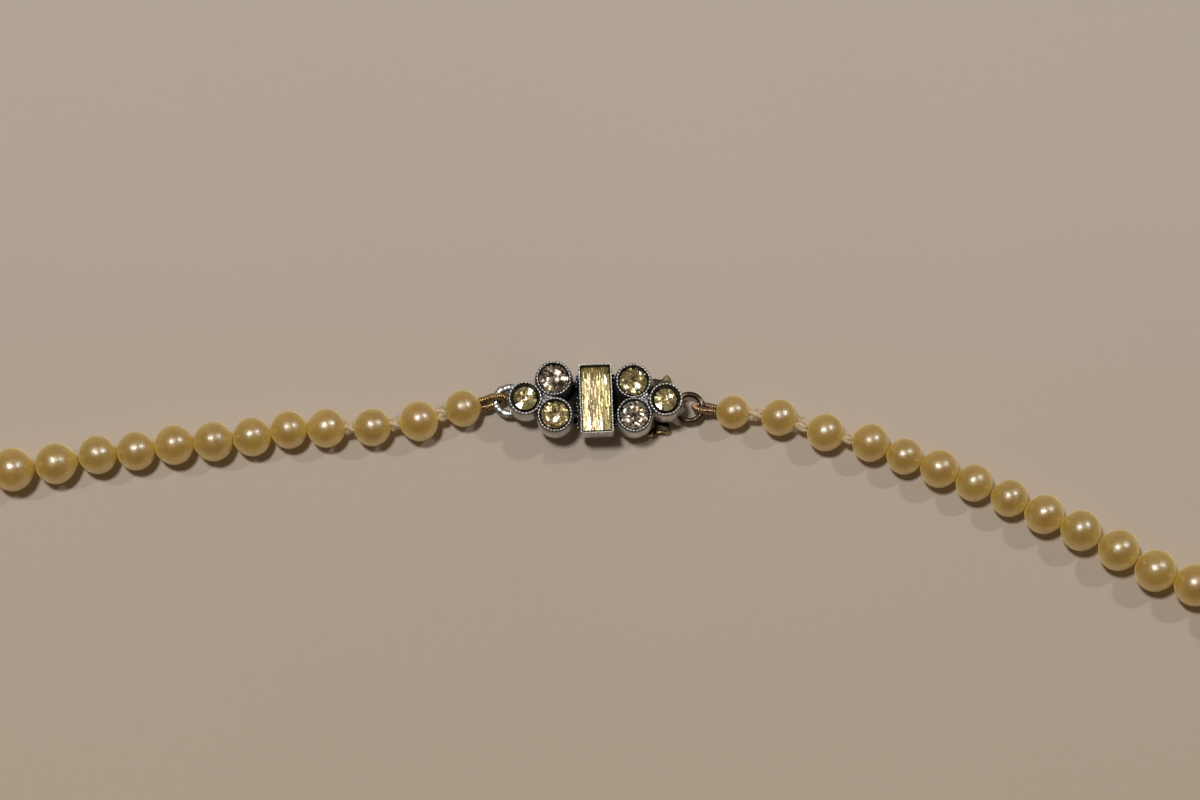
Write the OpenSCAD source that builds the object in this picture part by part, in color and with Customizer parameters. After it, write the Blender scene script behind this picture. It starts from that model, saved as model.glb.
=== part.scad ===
// Graduated pearl necklace: one strand of drilled pearls on silk thread, lying
// on a flat surface as a closed loop and fastened by a stone-set box clasp.
// Millimetres. The surface is z = 0, the clasp is at the +Y side of the loop,
// and the origin is the middle of the loop's outline on the surface.

/* [Strand] */
// Number of pearls on the front stretch, between the two end tables
front_count = 63; // [61:2:65]
// Gap between two pearls that touch
pearl_gap = 0.03; // [0.02:0.01:0.05]
// How slowly the pearls start to grow towards the front (1 = evenly)
growth = 1.25; // [1:0.05:1.5]
// Diameter of the first pearl of the front stretch
front_start_d = 3.8; // [3.6:0.05:4]
// Drill hole through each single pearl
drill_d = 0.9; // [0.85:0.05:1]
// Silk thread
thread_d = 0.45; // [0.35:0.05:0.5]
// Silk knot between the first pearls at each end
knot_d = 0.95; // [0.8:0.05:1.1]
// Front reach of the loop, from the clasp's middle to the front pearls' middle
loop_reach = 114.5; // [112:0.5:118]

/* [Clasp box] */
// Length of the box
box_l = 10.4; // [10:0.1:10.6]
// Width of the box
box_w = 3.8; // [3.6:0.1:4.2]
// Height of the box
box_h = 1.9; // [1.9:0.05:2.1]
// Sheet thickness of the box
box_t = 0.35; // [0.3:0.01:0.36]

/* [Clasp setting] */
// Top of the round bezels above the surface
cup_top = 3.85; // [3.75:0.05:4.1]
// Outside diameter of the four paired bezels
pair_d = 3.2; // [3.15:0.05:3.3]
// Outside diameter of the two single bezels
single_d = 2.95; // [2.85:0.05:3.05]
// Girdle diameter of the stones in the paired bezels
pair_stone_d = 2.5; // [2.4:0.05:2.6]
// Girdle diameter of the stones in the single bezels
single_stone_d = 2.3; // [2.2:0.05:2.4]
// Width of the upright rectangular bezel
frame_w = 2.9; // [2.8:0.05:3]
// Length of the upright rectangular bezel
frame_l = 6.25; // [6:0.05:6.4]
// Top of the rectangular bezel above the surface
frame_top = 4.15; // [4:0.05:4.3]
// How far the hand-set rectangular bezel is turned on the box, in degrees
frame_turn = 2; // [0:0.5:3]
// Diameter of the bars that join the trefoils to the rectangular bezel
bar_d = 0.45; // [0.4:0.05:0.5]

/* [Clasp fittings] */
// Outside diameter of both rings
ring_d = 2.95; // [2.9:0.05:3]
// Wire of the left ring, soldered to the box
left_wire_d = 0.55; // [0.5:0.05:0.55]
// Wire of the right jump ring
right_wire_d = 0.4; // [0.35:0.05:0.4]
// Outside diameter of the coiled gimp
gimp_d = 0.6; // [0.5:0.05:0.6]
// Roll of the gimp loops about the strand, in degrees
gimp_roll = 30; // [20:5:30]

/* [Hidden] */
SINGLES = 39;
function pearl_name(i) = str("pearl_", i < 10 ? "0" : "", i);

PEARL = "#e3cf9d";
SILK = "#efe6cd";
RHODIUM = "#b9bcc0";
BRASS = "#a88a4c";
TARNISH = "#6f6353";
PALE_PASTE = "#e6dca0";
CLEAR_PASTE = "#d9d6cf";

// ---- end tables: the pearls beside the clasp, outwards from the clasp ----
D = 0;     // column: diameter
GAP = 1;   // column: gap to the pearl before, where the knots sit
DROP = 2;  // column: how far the step from the pearl before turns down from X
TIP = 3;   // column: how far an off-round pearl is drawn out to the one before
LEFT = [
    [3.20, 0,    0,    0],
    [3.50, 0.78, 16.5, 0],
    [3.30, 0.84, 8,    0],
    [3.40, 0.80, 1,    0],
    [3.30, 0.04, 2.5,  0],
    [3.40, 0.03, 11,   0],
    [3.50, 0.05, 7,    0],
    [3.50, 0.03, 5.5,  0],
    [3.40, 0.03, 9,    0],
    [3.40, 0.05, 5.5,  0],
    [3.60, 0.36, 13,   0.32],
    [3.80, 0.22, 8,    0.18]];
RIGHT = [
    [2.95, 0,    0,    0],
    [3.20, 1.15, 7,    0],
    [3.30, 1.12, 18.5, 0],
    [3.30, 0.88, 13,   0],
    [3.20, 0.03, 22,   0],
    [3.40, 0.03, 20,   0],
    [3.30, 0.03, 22.5, 0],
    [3.30, 0.14, 24,   0],
    [3.50, 0.04, 25.5, 0],
    [3.60, 0.04, 24.5, 0],
    [3.65, 0.18, 28,   0.14],
    [3.70, 0.08, 29.5, 0],
    [3.75, 0.03, 20.5, 0]];
LEFT_START = [-12.03, -0.5];
RIGHT_START = [12.4, -0.8];
KNOTS = 3; // knots beside the first pearls of each end

// where pearl i of an end table lies; side is -1 for left, 1 for right
function end_at(tab, side, start, i) = i == 0 ? start :
    end_at(tab, side, start, i - 1)
    + (tab[i - 1][D] / 2 + tab[i][D] / 2 + tab[i][GAP])
      * [side * cos(tab[i][DROP]), -sin(tab[i][DROP])];
left_xy = [for (i = [0:len(LEFT) - 1]) end_at(LEFT, -1, LEFT_START, i)];
right_xy = [for (i = [0:len(RIGHT) - 1]) end_at(RIGHT, 1, RIGHT_START, i)];

// ---- front stretch: the plain way round, through hand-chosen points ----
FRONT_REF = 114.5; // the reach that these points were chosen for
FRONT = [
    [-63, -10], [-71.5, -18], [-76.5, -30], [-77.5, -45], [-74, -62],
    [-65, -80], [-50, -96], [-30, -108], [-8, -114], [15, -114.5],
    [37, -109], [56, -98], [70, -83], [78, -66], [79.5, -50],
    [76, -37], [67.5, -25]];
function last(v, n = 1) = v[len(v) - n];
way = concat(
    [last(left_xy, 3), last(left_xy)],
    [for (p = FRONT) [p[0], p[1] > -30 ? p[1]
        : -30 + (p[1] + 30) * (loop_reach - 30) / (FRONT_REF - 30)]],
    [last(right_xy), last(right_xy, 3)]);
function bend(a, b, c, d, t) = 0.5 * (2 * b + (c - a) * t
    + (2 * a - 5 * b + 4 * c - d) * t * t
    + (3 * b - a - 3 * c + d) * t * t * t);
STEPS = 12;
curve = concat(
    [for (i = [1:len(way) - 3], k = [0:STEPS - 1])
        bend(way[i - 1], way[i], way[i + 1], way[i + 2], k / STEPS)],
    [last(way, 2)]);
run = [for (i = 0, s = 0; i < len(curve);
    s = s + (i + 1 < len(curve) ? norm(curve[i + 1] - curve[i]) : 0),
    i = i + 1) s];
curve_x = [for (i = [0:len(curve) - 1]) [run[i], curve[i][0]]];
curve_y = [for (i = [0:len(curve) - 1]) [run[i], curve[i][1]]];
function along(s) = [lookup(s, curve_x), lookup(s, curve_y)];

// the graduation: pearls grow from front_start_d to the middle one, and the
// middle one is as large as makes the row fill its curve
function total(v, i = 0) = i == len(v) ? 0 : v[i] + total(v, i + 1);
mid = (front_count - 1) / 2;
grade = [for (i = [0:front_count - 1])
    pow((mid + 1 - abs(i - mid)) / (mid + 1), growth)];
row_l = last(run) - last(LEFT)[D] / 2 - last(RIGHT)[D] / 2
    - (front_count + 1) * pearl_gap;
middle_d = front_start_d
    + (row_l - front_count * front_start_d) / total(grade);
front_d = [for (g = grade) front_start_d + (middle_d - front_start_d) * g];
front_s = [for (i = 0, s = last(LEFT)[D] / 2 + pearl_gap + front_d[0] / 2;
    i < front_count;
    s = s + (i + 1 < front_count
        ? front_d[i] / 2 + front_d[i + 1] / 2 + pearl_gap : 0),
    i = i + 1) s];

// every pearl rests on the surface, so its middle is its radius high
function on_table(p, d) = [p[0], p[1], d / 2];
left_c = [for (i = [0:len(LEFT) - 1]) on_table(left_xy[i], LEFT[i][D])];
right_c = [for (i = [0:len(RIGHT) - 1]) on_table(right_xy[i], RIGHT[i][D])];
front_c = [for (i = [0:front_count - 1])
    on_table(along(front_s[i]), front_d[i])];
side_n = (front_count - SINGLES) / 2; // front pearls that stay on each end

// ---- the clasp's layout, about its own middle ----
PAIRS = [[-3.77, 1.70], [-3.63, -1.54], [3.34, 1.56], [3.48, -1.54]];
SOLO = [[-6.29, -0.15], [6.22, -0.25]];
GRAINS = [[-4.56, 0], [4.35, -0.07]];
BAR_Y = [1.5, -1.42];
cup_floor = box_h - 0.15;
seat_drop = 0.7;  // from a bezel's rim to its stone's girdle
left_ring = [-7.85, 0.15, 1.2];
right_ring = [8.35, -0.3, 1.1];
left_ring_r = (ring_d - left_wire_d) / 2;
right_ring_r = (ring_d - right_wire_d) / 2;

// ---- outline, for the origin ----
all_c = concat(left_c, front_c, right_c);
all_d = concat([for (r = LEFT) r[D]], front_d, [for (r = RIGHT) r[D]]);
low = [for (k = [0, 1])
    min([for (i = [0:len(all_c) - 1]) all_c[i][k] - all_d[i] / 2])];
high_x = max([for (i = [0:len(all_c) - 1]) all_c[i][0] + all_d[i] / 2]);
high_y = max(frame_l / 2 * cos(frame_turn) + frame_w / 2 * sin(frame_turn),
    PAIRS[0][1] + pair_d / 2);
middle = [(low[0] + high_x) / 2, (low[1] + high_y) / 2, 0];

module placed() translate(-middle) children();

// moves to p and turns +Z to v
module aimed(p, v) translate(p)
    rotate([0, acos(v[2] / norm(v)), atan2(v[1], v[0])]) children();

// a round bar from a to b
module rod(a, b, d) aimed(a, b - a) cylinder(d = d, h = norm(b - a), $fn = 24);

// a ball on a thread that runs along v
module ball(c, d, v) translate(c) rotate([0, 0, atan2(v[1], v[0]) + 90])
    sphere(d = d, $fn = 48);

// the drawn-out end of an off-round pearl: a cone that starts just inside the
// ball and leaves it nearly smoothly
module tip(c, d, to, reach) {
    r = d / 2;
    apex = r + 1.6 * reach;
    lean = asin(0.985 * r / apex);
    start = apex * pow(sin(lean), 2);
    aimed(c, to - c) translate([0, 0, start])
        cylinder(r1 = (apex - start) * tan(lean), h = r + reach - start,
            r2 = (apex - r - reach) * tan(lean), $fn = 48);
}

// one end of the necklace: its small pearls with the thread and knots in them
module strand(c, d, tab) {
    n = len(c) - 1;
    for (i = [0:n]) ball(c[i], d[i], c[min(i + 1, n)] - c[min(i, n - 1)]);
    for (i = [0:n - 1]) {
        v = (c[i + 1] - c[i]) / norm(c[i + 1] - c[i]);
        rod(c[i] + v * (d[i] / 2 - 0.4), c[i + 1] - v * (d[i + 1] / 2 - 0.4),
            thread_d);
    }
    for (i = [1:len(tab) - 1])
        if (tab[i][TIP] > 0) tip(c[i], d[i], c[i - 1], tab[i][TIP]);
    for (i = [1:KNOTS]) {
        v = (c[i] - c[i - 1]) / norm(c[i] - c[i - 1]);
        ball(c[i - 1] + v * (d[i - 1] / 2 + tab[i][GAP] / 2), knot_d, v);
    }
}

module strand_left() color(PEARL) placed()
    strand(concat(left_c, [for (i = [0:side_n - 1]) front_c[i]]),
        concat([for (r = LEFT) r[D]], [for (i = [0:side_n - 1]) front_d[i]]),
        LEFT);

module strand_right() color(PEARL) placed()
    strand(concat(right_c,
            [for (i = [0:side_n - 1]) front_c[front_count - 1 - i]]),
        concat([for (r = RIGHT) r[D]],
            [for (i = [0:side_n - 1]) front_d[front_count - 1 - i]]),
        RIGHT);

// where the row's pearls i - 1 and i touch
function touch(i) = let (p = along(front_s[i] - front_d[i] / 2))
    [p[0], p[1], front_d[i] / 4 + front_d[i - 1] / 4];

// a single drilled pearl of the front; n counts from 1 at the left
module pearl(n) {
    i = side_n + n - 1;
    v = touch(i + 1) - touch(i);
    color(PEARL) placed() aimed(front_c[i], v) difference() {
        sphere(d = front_d[i], $fn = 48);
        cylinder(d = drill_d, h = front_d[i] + 1, center = true, $fn = 32);
    }
}

// a closed tube through the points of a path that keeps square to up
module tube(path, d, sides = 8, up = [0, 0, 1]) {
    n = len(path);
    function heading(i) = let (v = path[min(i + 1, n - 1)] - path[max(i - 1, 0)])
        v / norm(v);
    points = [for (i = [0:n - 1], k = [0:sides - 1])
        let (t = heading(i), s = cross(t, up) / norm(cross(t, up)),
            u = cross(s, t), a = 360 * k / sides)
        path[i] + d / 2 * (cos(a) * s + sin(a) * u)];
    faces = concat(
        [[for (k = [0:sides - 1]) k]],
        [[for (k = [sides - 1:-1:0]) (n - 1) * sides + k]],
        [for (i = [0:n - 2], k = [0:sides - 1])
            [i * sides + k, (i + 1) * sides + k,
             (i + 1) * sides + (k + 1) % sides]],
        [for (i = [0:n - 2], k = [0:sides - 1])
            [i * sides + k, (i + 1) * sides + (k + 1) % sides,
             i * sides + (k + 1) % sides]]);
    polyhedron(points, faces, convexity = 10);
}

// a point a little way from a towards b
function short_of(a, b) = a + 0.08 * (b - a) / norm(b - a);

module thread() color(SILK) placed()
    tube(concat(
        [for (i = [side_n:side_n + SINGLES - 1], k = [0, 1])
            k == 1 ? front_c[i]
                : i > side_n ? touch(i) : short_of(touch(i), front_c[i])],
        [short_of(touch(side_n + SINGLES), front_c[side_n + SINGLES - 1])]),
        thread_d);

// ---- clasp ----
// a round bezel: bevelled outside, flared mouth, conical seat for its stone
module bezel(p, d, stone_d) translate([p[0], p[1], 0]) difference() {
    union() {
        translate([0, 0, cup_floor])
            cylinder(d = d, h = cup_top - 0.22 - cup_floor, $fn = 64);
        translate([0, 0, cup_top - 0.22])
            cylinder(d1 = d, d2 = d - 0.2, h = 0.22, $fn = 64);
    }
    translate([0, 0, cup_top - seat_drop])
        cylinder(d = stone_d + 0.06, h = seat_drop + 1, $fn = 64);
    translate([0, 0, cup_top - 0.3])
        cylinder(d1 = stone_d + 0.06, d2 = d - 0.4, h = 0.31, $fn = 64);
    translate([0, 0, cup_top - seat_drop - 1.05])
        cylinder(d1 = 0.5, d2 = stone_d + 0.06, h = 1.06, $fn = 64);
}

module block(l, w, z0, z1)
    translate([-l / 2, -w / 2, z0]) cube([l, w, z1 - z0]);

module plate(l, w, r, z0, z1) translate([0, 0, z0])
    linear_extrude(z1 - z0) union() {
        square([l, w - 2 * r], center = true);
        square([l - 2 * r, w], center = true);
        for (x = [-1, 1], y = [-1, 1])
            translate([x * (l / 2 - r), y * (w / 2 - r)])
                circle(r = r, $fn = 32);
    }

module torus(c, r, wire_d) translate(c) rotate_extrude($fn = 64)
    translate([r, 0]) circle(d = wire_d, $fn = 24);

module clasp_setting() color(RHODIUM) placed() difference() {
    union() {
        plate(box_l, box_w, 0.6, 0, box_h);
        for (p = PAIRS) bezel(p, pair_d, pair_stone_d);
        for (p = SOLO) bezel(p, single_d, single_stone_d);
        // grain metal in the middle of each trefoil
        for (p = GRAINS) translate([p[0], p[1], cup_floor])
            cylinder(d = 0.9, h = cup_top - 0.3 - cup_floor, $fn = 24);
        // rectangular bezel with its pocket and its thinner rim
        rotate([0, 0, frame_turn]) difference() {
            block(frame_w, frame_l, cup_floor, frame_top);
            block(frame_w - 0.68, frame_l - 0.68, 2.6, frame_top + 1);
            block(frame_w - 0.4, frame_l - 0.4, frame_top - 0.25,
                frame_top + 1);
        }
        // bars between the trefoils and the rectangular bezel
        for (x = [-1, 1], y = BAR_Y)
            rod([x * 1.25, y, 3.2], [x < 0 ? -2.3 : 2.0, y, 3.2], bar_d);
        // left ring and the tab that solders it to the box
        torus(left_ring, left_ring_r, left_wire_d);
        translate([-6.85, left_ring[1] - 0.5, left_ring[2] - 0.25])
            cube([1.85, 1, 0.5]);
    }
    // slot for the tongue, open at the right end
    translate([-box_l / 2 + box_t, -box_w / 2 + box_t, box_t])
        cube([box_l, box_w - 2 * box_t, box_h - 2 * box_t]);
}

// folded spring leaf, side wings and rolled eye
leaf_t = 0.25;
leaf_w = 2.4;
wing_t = 0.3;
eye_x = right_ring[0] - right_ring_r;
module clasp_tongue() color(BRASS) placed() {
    rotate([90, 0, 0]) linear_extrude(leaf_w, center = true) union() {
        translate([-3.9, 0.45]) square([9.6, leaf_t]);
        translate([-3.9, 1.2]) square([8.6, leaf_t]);
        difference() {
            translate([-3.9, 0.95]) circle(r = 0.5, $fn = 32);
            translate([-3.9, 0.95]) circle(r = 0.25, $fn = 32);
            translate([-3.9, 0]) square([2, 2]);
        }
    }
    translate([0, 0, 0.45]) linear_extrude(wing_t) polygon([
        [5.35, -1.2], [5.3, -2.3], [5.6, -2.85], [6.1, -2.45], [6.6, -2.8],
        [6.85, -2.4], [6.45, -1.3], [eye_x, -0.75],
        [eye_x, 0.15], [6.45, 1.3], [6.85, 2.4], [6.6, 2.8],
        [6.1, 2.45], [5.6, 2.85], [5.3, 2.3], [5.35, 1.2]]);
    translate([eye_x, right_ring[1], right_ring[2]]) rotate([90, 0, 0])
        difference() {
            cylinder(r = 0.5, h = 0.8, center = true, $fn = 32);
            cylinder(r = 0.3, h = 2, center = true, $fn = 32);
        }
}

module ring_right() color(TARNISH) placed()
    torus(right_ring, right_ring_r, right_wire_d);

// a loop of coiled gimp: round the ring's wire at w, both legs into pearl c
module gimp(w, wire_d, c, d) {
    spread = (wire_d / 2 + gimp_d / 2 + 0.1) / cos(gimp_roll);
    v = c - w;
    l = norm(v) - d / 2 - 0.08;
    near = gimp_d / 2 + 0.02;
    translate(w)
        rotate([0, acos(v[2] / norm(v)) - 90, atan2(v[1], v[0])])
            rotate([90 + gimp_roll, 0, 0])
                tube(concat(
                    [[l, near, 0], [0.6 * l, near + 0.03, 0]],
                    [for (a = [75:15:285]) spread * [cos(a), sin(a), 0]],
                    [[0.6 * l, -near - 0.03, 0], [l, -near, 0]]),
                    gimp_d, 10);
}

module gimp_left() color(TARNISH) placed()
    gimp(left_ring - [left_ring_r, 0, 0], left_wire_d, left_c[0],
        LEFT[0][D]);

module gimp_right() color(TARNISH) placed()
    gimp(right_ring + [right_ring_r, 0, 0], right_wire_d, right_c[0],
        RIGHT[0][D]);

// a round stone: culet cone, girdle, crown and table
module round_stone(p, d, tint) color(tint) placed()
    translate([p[0], p[1], cup_top - seat_drop + 0.02]) union() {
        translate([0, 0, -0.9])
            cylinder(d1 = 0.2, d2 = d, h = 0.9, $fn = 48);
        cylinder(d = d, h = 0.08, $fn = 48);
        translate([0, 0, 0.08])
            cylinder(d1 = d, d2 = 0.56 * d, h = 0.36, $fn = 48);
    }

// the step-cut stone of the rectangular bezel
module baguette_stone() color(PALE_PASTE) placed()
    rotate([0, 0, frame_turn]) hull() {
        block(frame_w - 2, frame_l - 1.9, 2.72, 2.75);
        block(frame_w - 0.74, frame_l - 0.74, 3.4, 3.5);
        block(frame_w - 1.2, frame_l - 1.2, 3.8, 3.9);
    }

module stone_1() round_stone(SOLO[0], single_stone_d, PALE_PASTE);
module stone_2() round_stone(PAIRS[0], pair_stone_d, CLEAR_PASTE);
module stone_3() round_stone(PAIRS[1], pair_stone_d, PALE_PASTE);
module stone_4() round_stone(PAIRS[2], pair_stone_d, PALE_PASTE);
module stone_5() round_stone(PAIRS[3], pair_stone_d, CLEAR_PASTE);
module stone_6() round_stone(SOLO[1], single_stone_d, PALE_PASTE);

clasp_setting();
clasp_tongue();
baguette_stone();
stone_1();  // round_stone_1
stone_2();  // round_stone_2
stone_3();  // round_stone_3
stone_4();  // round_stone_4
stone_5();  // round_stone_5
stone_6();  // round_stone_6
ring_right();
gimp_left();
gimp_right();
strand_left();
strand_right();
thread();
for (i = [1:SINGLES])
    pearl(i);
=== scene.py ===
"""Looks of the graduated pearl necklace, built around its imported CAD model."""

import math

import bpy
import numpy as np
from mathutils import Euler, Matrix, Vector


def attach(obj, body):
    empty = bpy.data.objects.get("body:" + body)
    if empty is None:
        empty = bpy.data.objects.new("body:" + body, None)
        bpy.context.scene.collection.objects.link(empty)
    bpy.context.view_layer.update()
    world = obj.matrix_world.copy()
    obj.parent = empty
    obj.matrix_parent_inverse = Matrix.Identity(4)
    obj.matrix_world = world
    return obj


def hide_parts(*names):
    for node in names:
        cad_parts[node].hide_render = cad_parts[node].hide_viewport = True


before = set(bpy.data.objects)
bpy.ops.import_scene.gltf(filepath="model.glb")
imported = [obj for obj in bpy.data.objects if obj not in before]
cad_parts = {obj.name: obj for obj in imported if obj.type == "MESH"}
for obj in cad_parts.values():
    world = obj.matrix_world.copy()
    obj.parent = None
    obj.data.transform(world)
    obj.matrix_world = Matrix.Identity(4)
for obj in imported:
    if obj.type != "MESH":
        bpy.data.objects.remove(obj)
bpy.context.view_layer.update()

MM = 0.001
SHIFT = np.array([0.988629, -57.4617, 0.0])  # the loop's middle in the clasp's frame, mm
X, Y, Z = np.eye(3)

# ---------------------------------------------------------------- camera
scene = bpy.context.scene
scene.view_settings.view_transform = "Standard"
scene.view_settings.look = "None"
cam_data = bpy.data.cameras.new("camera")
cam_data.sensor_fit = "HORIZONTAL"
cam_data.angle = math.radians(17.0)
cam_data.clip_start = 0.01
cam_data.clip_end = 20.0
cam = bpy.data.objects.new("camera", cam_data)
scene.collection.objects.link(cam)
cam.location = (-0.002878, -0.009063, 0.358715)
cam.rotation_euler = Euler(
    (math.radians(10.6), math.radians(-0.357), math.radians(-0.028)), "XYZ"
)
scene.camera = cam


# ---------------------------------------------------------------- small maths
def unit(v):
    v = np.asarray(v, float)
    return v / np.linalg.norm(v)


def smooth01(x):
    x = np.clip(x, 0.0, 1.0)
    return x * x * (3 - 2 * x)


def arr(*v):
    return np.array(v, float)


def turned(axis, angle):
    """Rotation matrix about X, Y or Z (0, 1, 2), in degrees, as OpenSCAD turns."""
    c, s = math.cos(math.radians(angle)), math.sin(math.radians(angle))
    m = np.eye(3)
    i, j = [(1, 2), (2, 0), (0, 1)][axis]
    m[i, i] = m[j, j] = c
    m[i, j], m[j, i] = -s, s
    return m


def spline(points, per=10, closed=False):
    """A Catmull-Rom line through points, per steps between each two."""
    p = np.asarray(points, float)
    if closed:
        p = np.vstack([p[-1:], p, p[:2]])
    else:
        p = np.vstack([2 * p[0] - p[1], p, 2 * p[-1] - p[-2]])
    out = []
    t = np.arange(per)[:, None] / per
    for a, b, c, d in zip(p, p[1:], p[2:], p[3:]):
        out.append(
            0.5
            * (
                2 * b
                + (c - a) * t
                + (2 * a - 5 * b + 4 * c - d) * t**2
                + (3 * b - a - 3 * c + d) * t**3
            )
        )
    if not closed:
        out.append(p[-2:-1])
    return np.vstack(out)


def resample(path, step):
    path = np.asarray(path, float)
    s = np.r_[0, np.cumsum(np.linalg.norm(np.diff(path, axis=0), axis=1))]
    n = max(2, int(round(s[-1] / step)) + 1)
    t = np.linspace(0, s[-1], n)
    return np.stack([np.interp(t, s, path[:, k]) for k in range(3)], 1), t


def transported(path, closed=False, first=None):
    """Tangents and two normals that turn as little as possible along path."""
    p = np.asarray(path, float)
    if closed:
        t = np.roll(p, -1, 0) - np.roll(p, 1, 0)
    else:
        t = np.gradient(p, axis=0)
    t /= np.linalg.norm(t, axis=1)[:, None]
    n = np.empty_like(p)
    up = Z if first is None else np.asarray(first, float)
    if abs(up @ t[0]) > 0.95:
        up = X
    n[0] = unit(up - (up @ t[0]) * t[0])
    for i in range(1, len(p)):
        w = n[i - 1] - (n[i - 1] @ t[i]) * t[i]
        n[i] = w / np.linalg.norm(w)
    b = np.cross(t, n)
    if closed:  # spread what is left over the whole turn
        w = n[-1] - (n[-1] @ t[0]) * t[0]
        off = math.atan2(w @ b[0], w @ n[0])
        a = -off * np.arange(len(p)) / len(p)
        n, b = (
            np.cos(a)[:, None] * n + np.sin(a)[:, None] * b,
            -np.sin(a)[:, None] * n + np.cos(a)[:, None] * b,
        )
    return t, n, b


# ---------------------------------------------------------------- mesh making
def grid(rows, cols, wrap_rows=False, wrap_cols=True):
    i = np.arange(rows if wrap_rows else rows - 1)
    j = np.arange(cols if wrap_cols else cols - 1)
    i, j = np.meshgrid(i, j, indexing="ij")
    i, j = i.ravel(), j.ravel()
    i2, j2 = (i + 1) % rows, (j + 1) % cols
    return np.stack(
        [i * cols + j, i * cols + j2, i2 * cols + j2, i2 * cols + j], 1
    )


def outward(v, faces):
    """Faces of closed shells, all turned so that they look outward."""
    w, volume = v - v.mean(0), 0.0
    for f in faces:
        for k in range(1, f.shape[1] - 1):
            volume += float((w[f[:, 0]] * np.cross(w[f[:, k]], w[f[:, k + 1]])).sum())
    return [f[:, ::-1] for f in faces] if volume < -1e-9 else faces


class Soup:
    """Faces of one piece: positions in mm in the clasp's frame, with values per point."""

    def __init__(self, **values):
        self.v, self.f, self.n = [], [], 0
        self.defaults = values
        self.values = {k: [] for k in values}

    def add(self, v, faces, mat=0, smooth=True, **values):
        v = np.asarray(v, float).reshape(-1, 3)
        faces = [np.asarray(f, int) for f in (faces if isinstance(faces, (list, tuple)) else [faces])]
        for f in outward(v, [f for f in faces if len(f)]):
            self.f.append((f + self.n, mat, smooth))
        for k, d in self.defaults.items():
            x = np.asarray(values.get(k, d), float)
            shape = (len(v),) + np.shape(d)
            self.values[k].append(np.broadcast_to(x, shape).copy())
        self.v.append(v)
        self.n += len(v)

    def join(self, other, mat=None):
        base = self.n
        for f, m, s in other.f:
            self.f.append((f + base, m if mat is None else mat, s))
        for k in self.defaults:
            self.values[k] += other.values[k]
        self.v += other.v
        self.n += other.n

    def build(self, name, mats, nodes=(), slot=None, sharp=None):
        co = (np.vstack(self.v) - SHIFT) * MM
        me = bpy.data.meshes.new(name)
        me.vertices.add(len(co))
        me.vertices.foreach_set("co", co.ravel())
        loops = np.concatenate([f.ravel() for f, _, _ in self.f])
        sizes = np.concatenate([np.full(len(f), f.shape[1]) for f, _, _ in self.f])
        me.loops.add(len(loops))
        me.loops.foreach_set("vertex_index", loops)
        me.polygons.add(len(sizes))
        me.polygons.foreach_set("loop_start", np.r_[0, np.cumsum(sizes)[:-1]])
        me.polygons.foreach_set(
            "material_index", np.concatenate([np.full(len(f), m) for f, m, _ in self.f])
        )
        me.update(calc_edges=True)
        me.polygons.foreach_set(
            "use_smooth", np.concatenate([np.full(len(f), s) for f, _, s in self.f])
        )
        for k, d in self.defaults.items():
            data = np.concatenate(self.values[k])
            if np.shape(d) == ():
                me.attributes.new(k, "FLOAT", "POINT").data.foreach_set("value", data)
            elif len(d) == 3:
                me.attributes.new(k, "FLOAT_VECTOR", "POINT").data.foreach_set(
                    "vector", data.ravel()
                )
            else:
                me.attributes.new(k, "FLOAT_COLOR", "POINT").data.foreach_set(
                    "color", data.ravel()
                )
        if sharp is not None:
            me.set_sharp_from_angle(angle=math.radians(sharp))
        for m in mats:
            me.materials.append(m)
        me.validate()
        o = bpy.data.objects.new(name, me)
        scene.collection.objects.link(o)
        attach(o, "root")
        if nodes:
            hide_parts(*nodes)
        return o


def fan(ring, centre, flip=False):
    ring = np.asarray(ring)
    nxt = np.roll(ring, -1)
    c = np.full(len(ring), centre)
    return np.stack([c, nxt, ring] if flip else [c, ring, nxt], 1)


def sweep(soup, path, radius, sides=8, profile=None, twist=None, closed=False, first=None, caps=True, **kw):
    """A tube along path. radius is one number or one for each point."""
    path = np.asarray(path, float)
    n = len(path)
    _, a, b = transported(path, closed, first)
    r = np.broadcast_to(np.asarray(radius, float), (n,))
    if profile is None:
        k = np.arange(sides) / sides * 2 * math.pi
        profile = np.stack([np.cos(k), np.sin(k)], 1)
    sides = len(profile)
    th = np.zeros(n) if twist is None else np.asarray(twist, float)
    c, s = np.cos(th)[:, None], np.sin(th)[:, None]
    px = profile[None, :, 0] * c - profile[None, :, 1] * s
    py = profile[None, :, 0] * s + profile[None, :, 1] * c
    v = (
        path[:, None, :]
        + r[:, None, None] * (px[..., None] * a[:, None, :] + py[..., None] * b[:, None, :])
    ).reshape(-1, 3)
    faces = [grid(n, sides, closed, True)]
    vals = {
        k: (np.repeat(x, sides, 0) if np.ndim(x) and len(x) == n else x)
        for k, x in kw.items()
        if k not in ("mat", "smooth")
    }
    if not closed and caps:
        v = np.vstack([v, path[0], path[-1]])
        faces.append(fan(np.arange(sides), n * sides, True))
        faces.append(fan(np.arange(sides) + (n - 1) * sides, n * sides + 1))
        vals = {
            k: (np.concatenate([x, x[:1], x[-1:]]) if np.ndim(x) and len(x) == n * sides else x)
            for k, x in vals.items()
        }
    faces = [f[:, ::-1] for f in faces]
    soup.add(v, faces, kw.get("mat", 0), kw.get("smooth", True), **vals)


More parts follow.
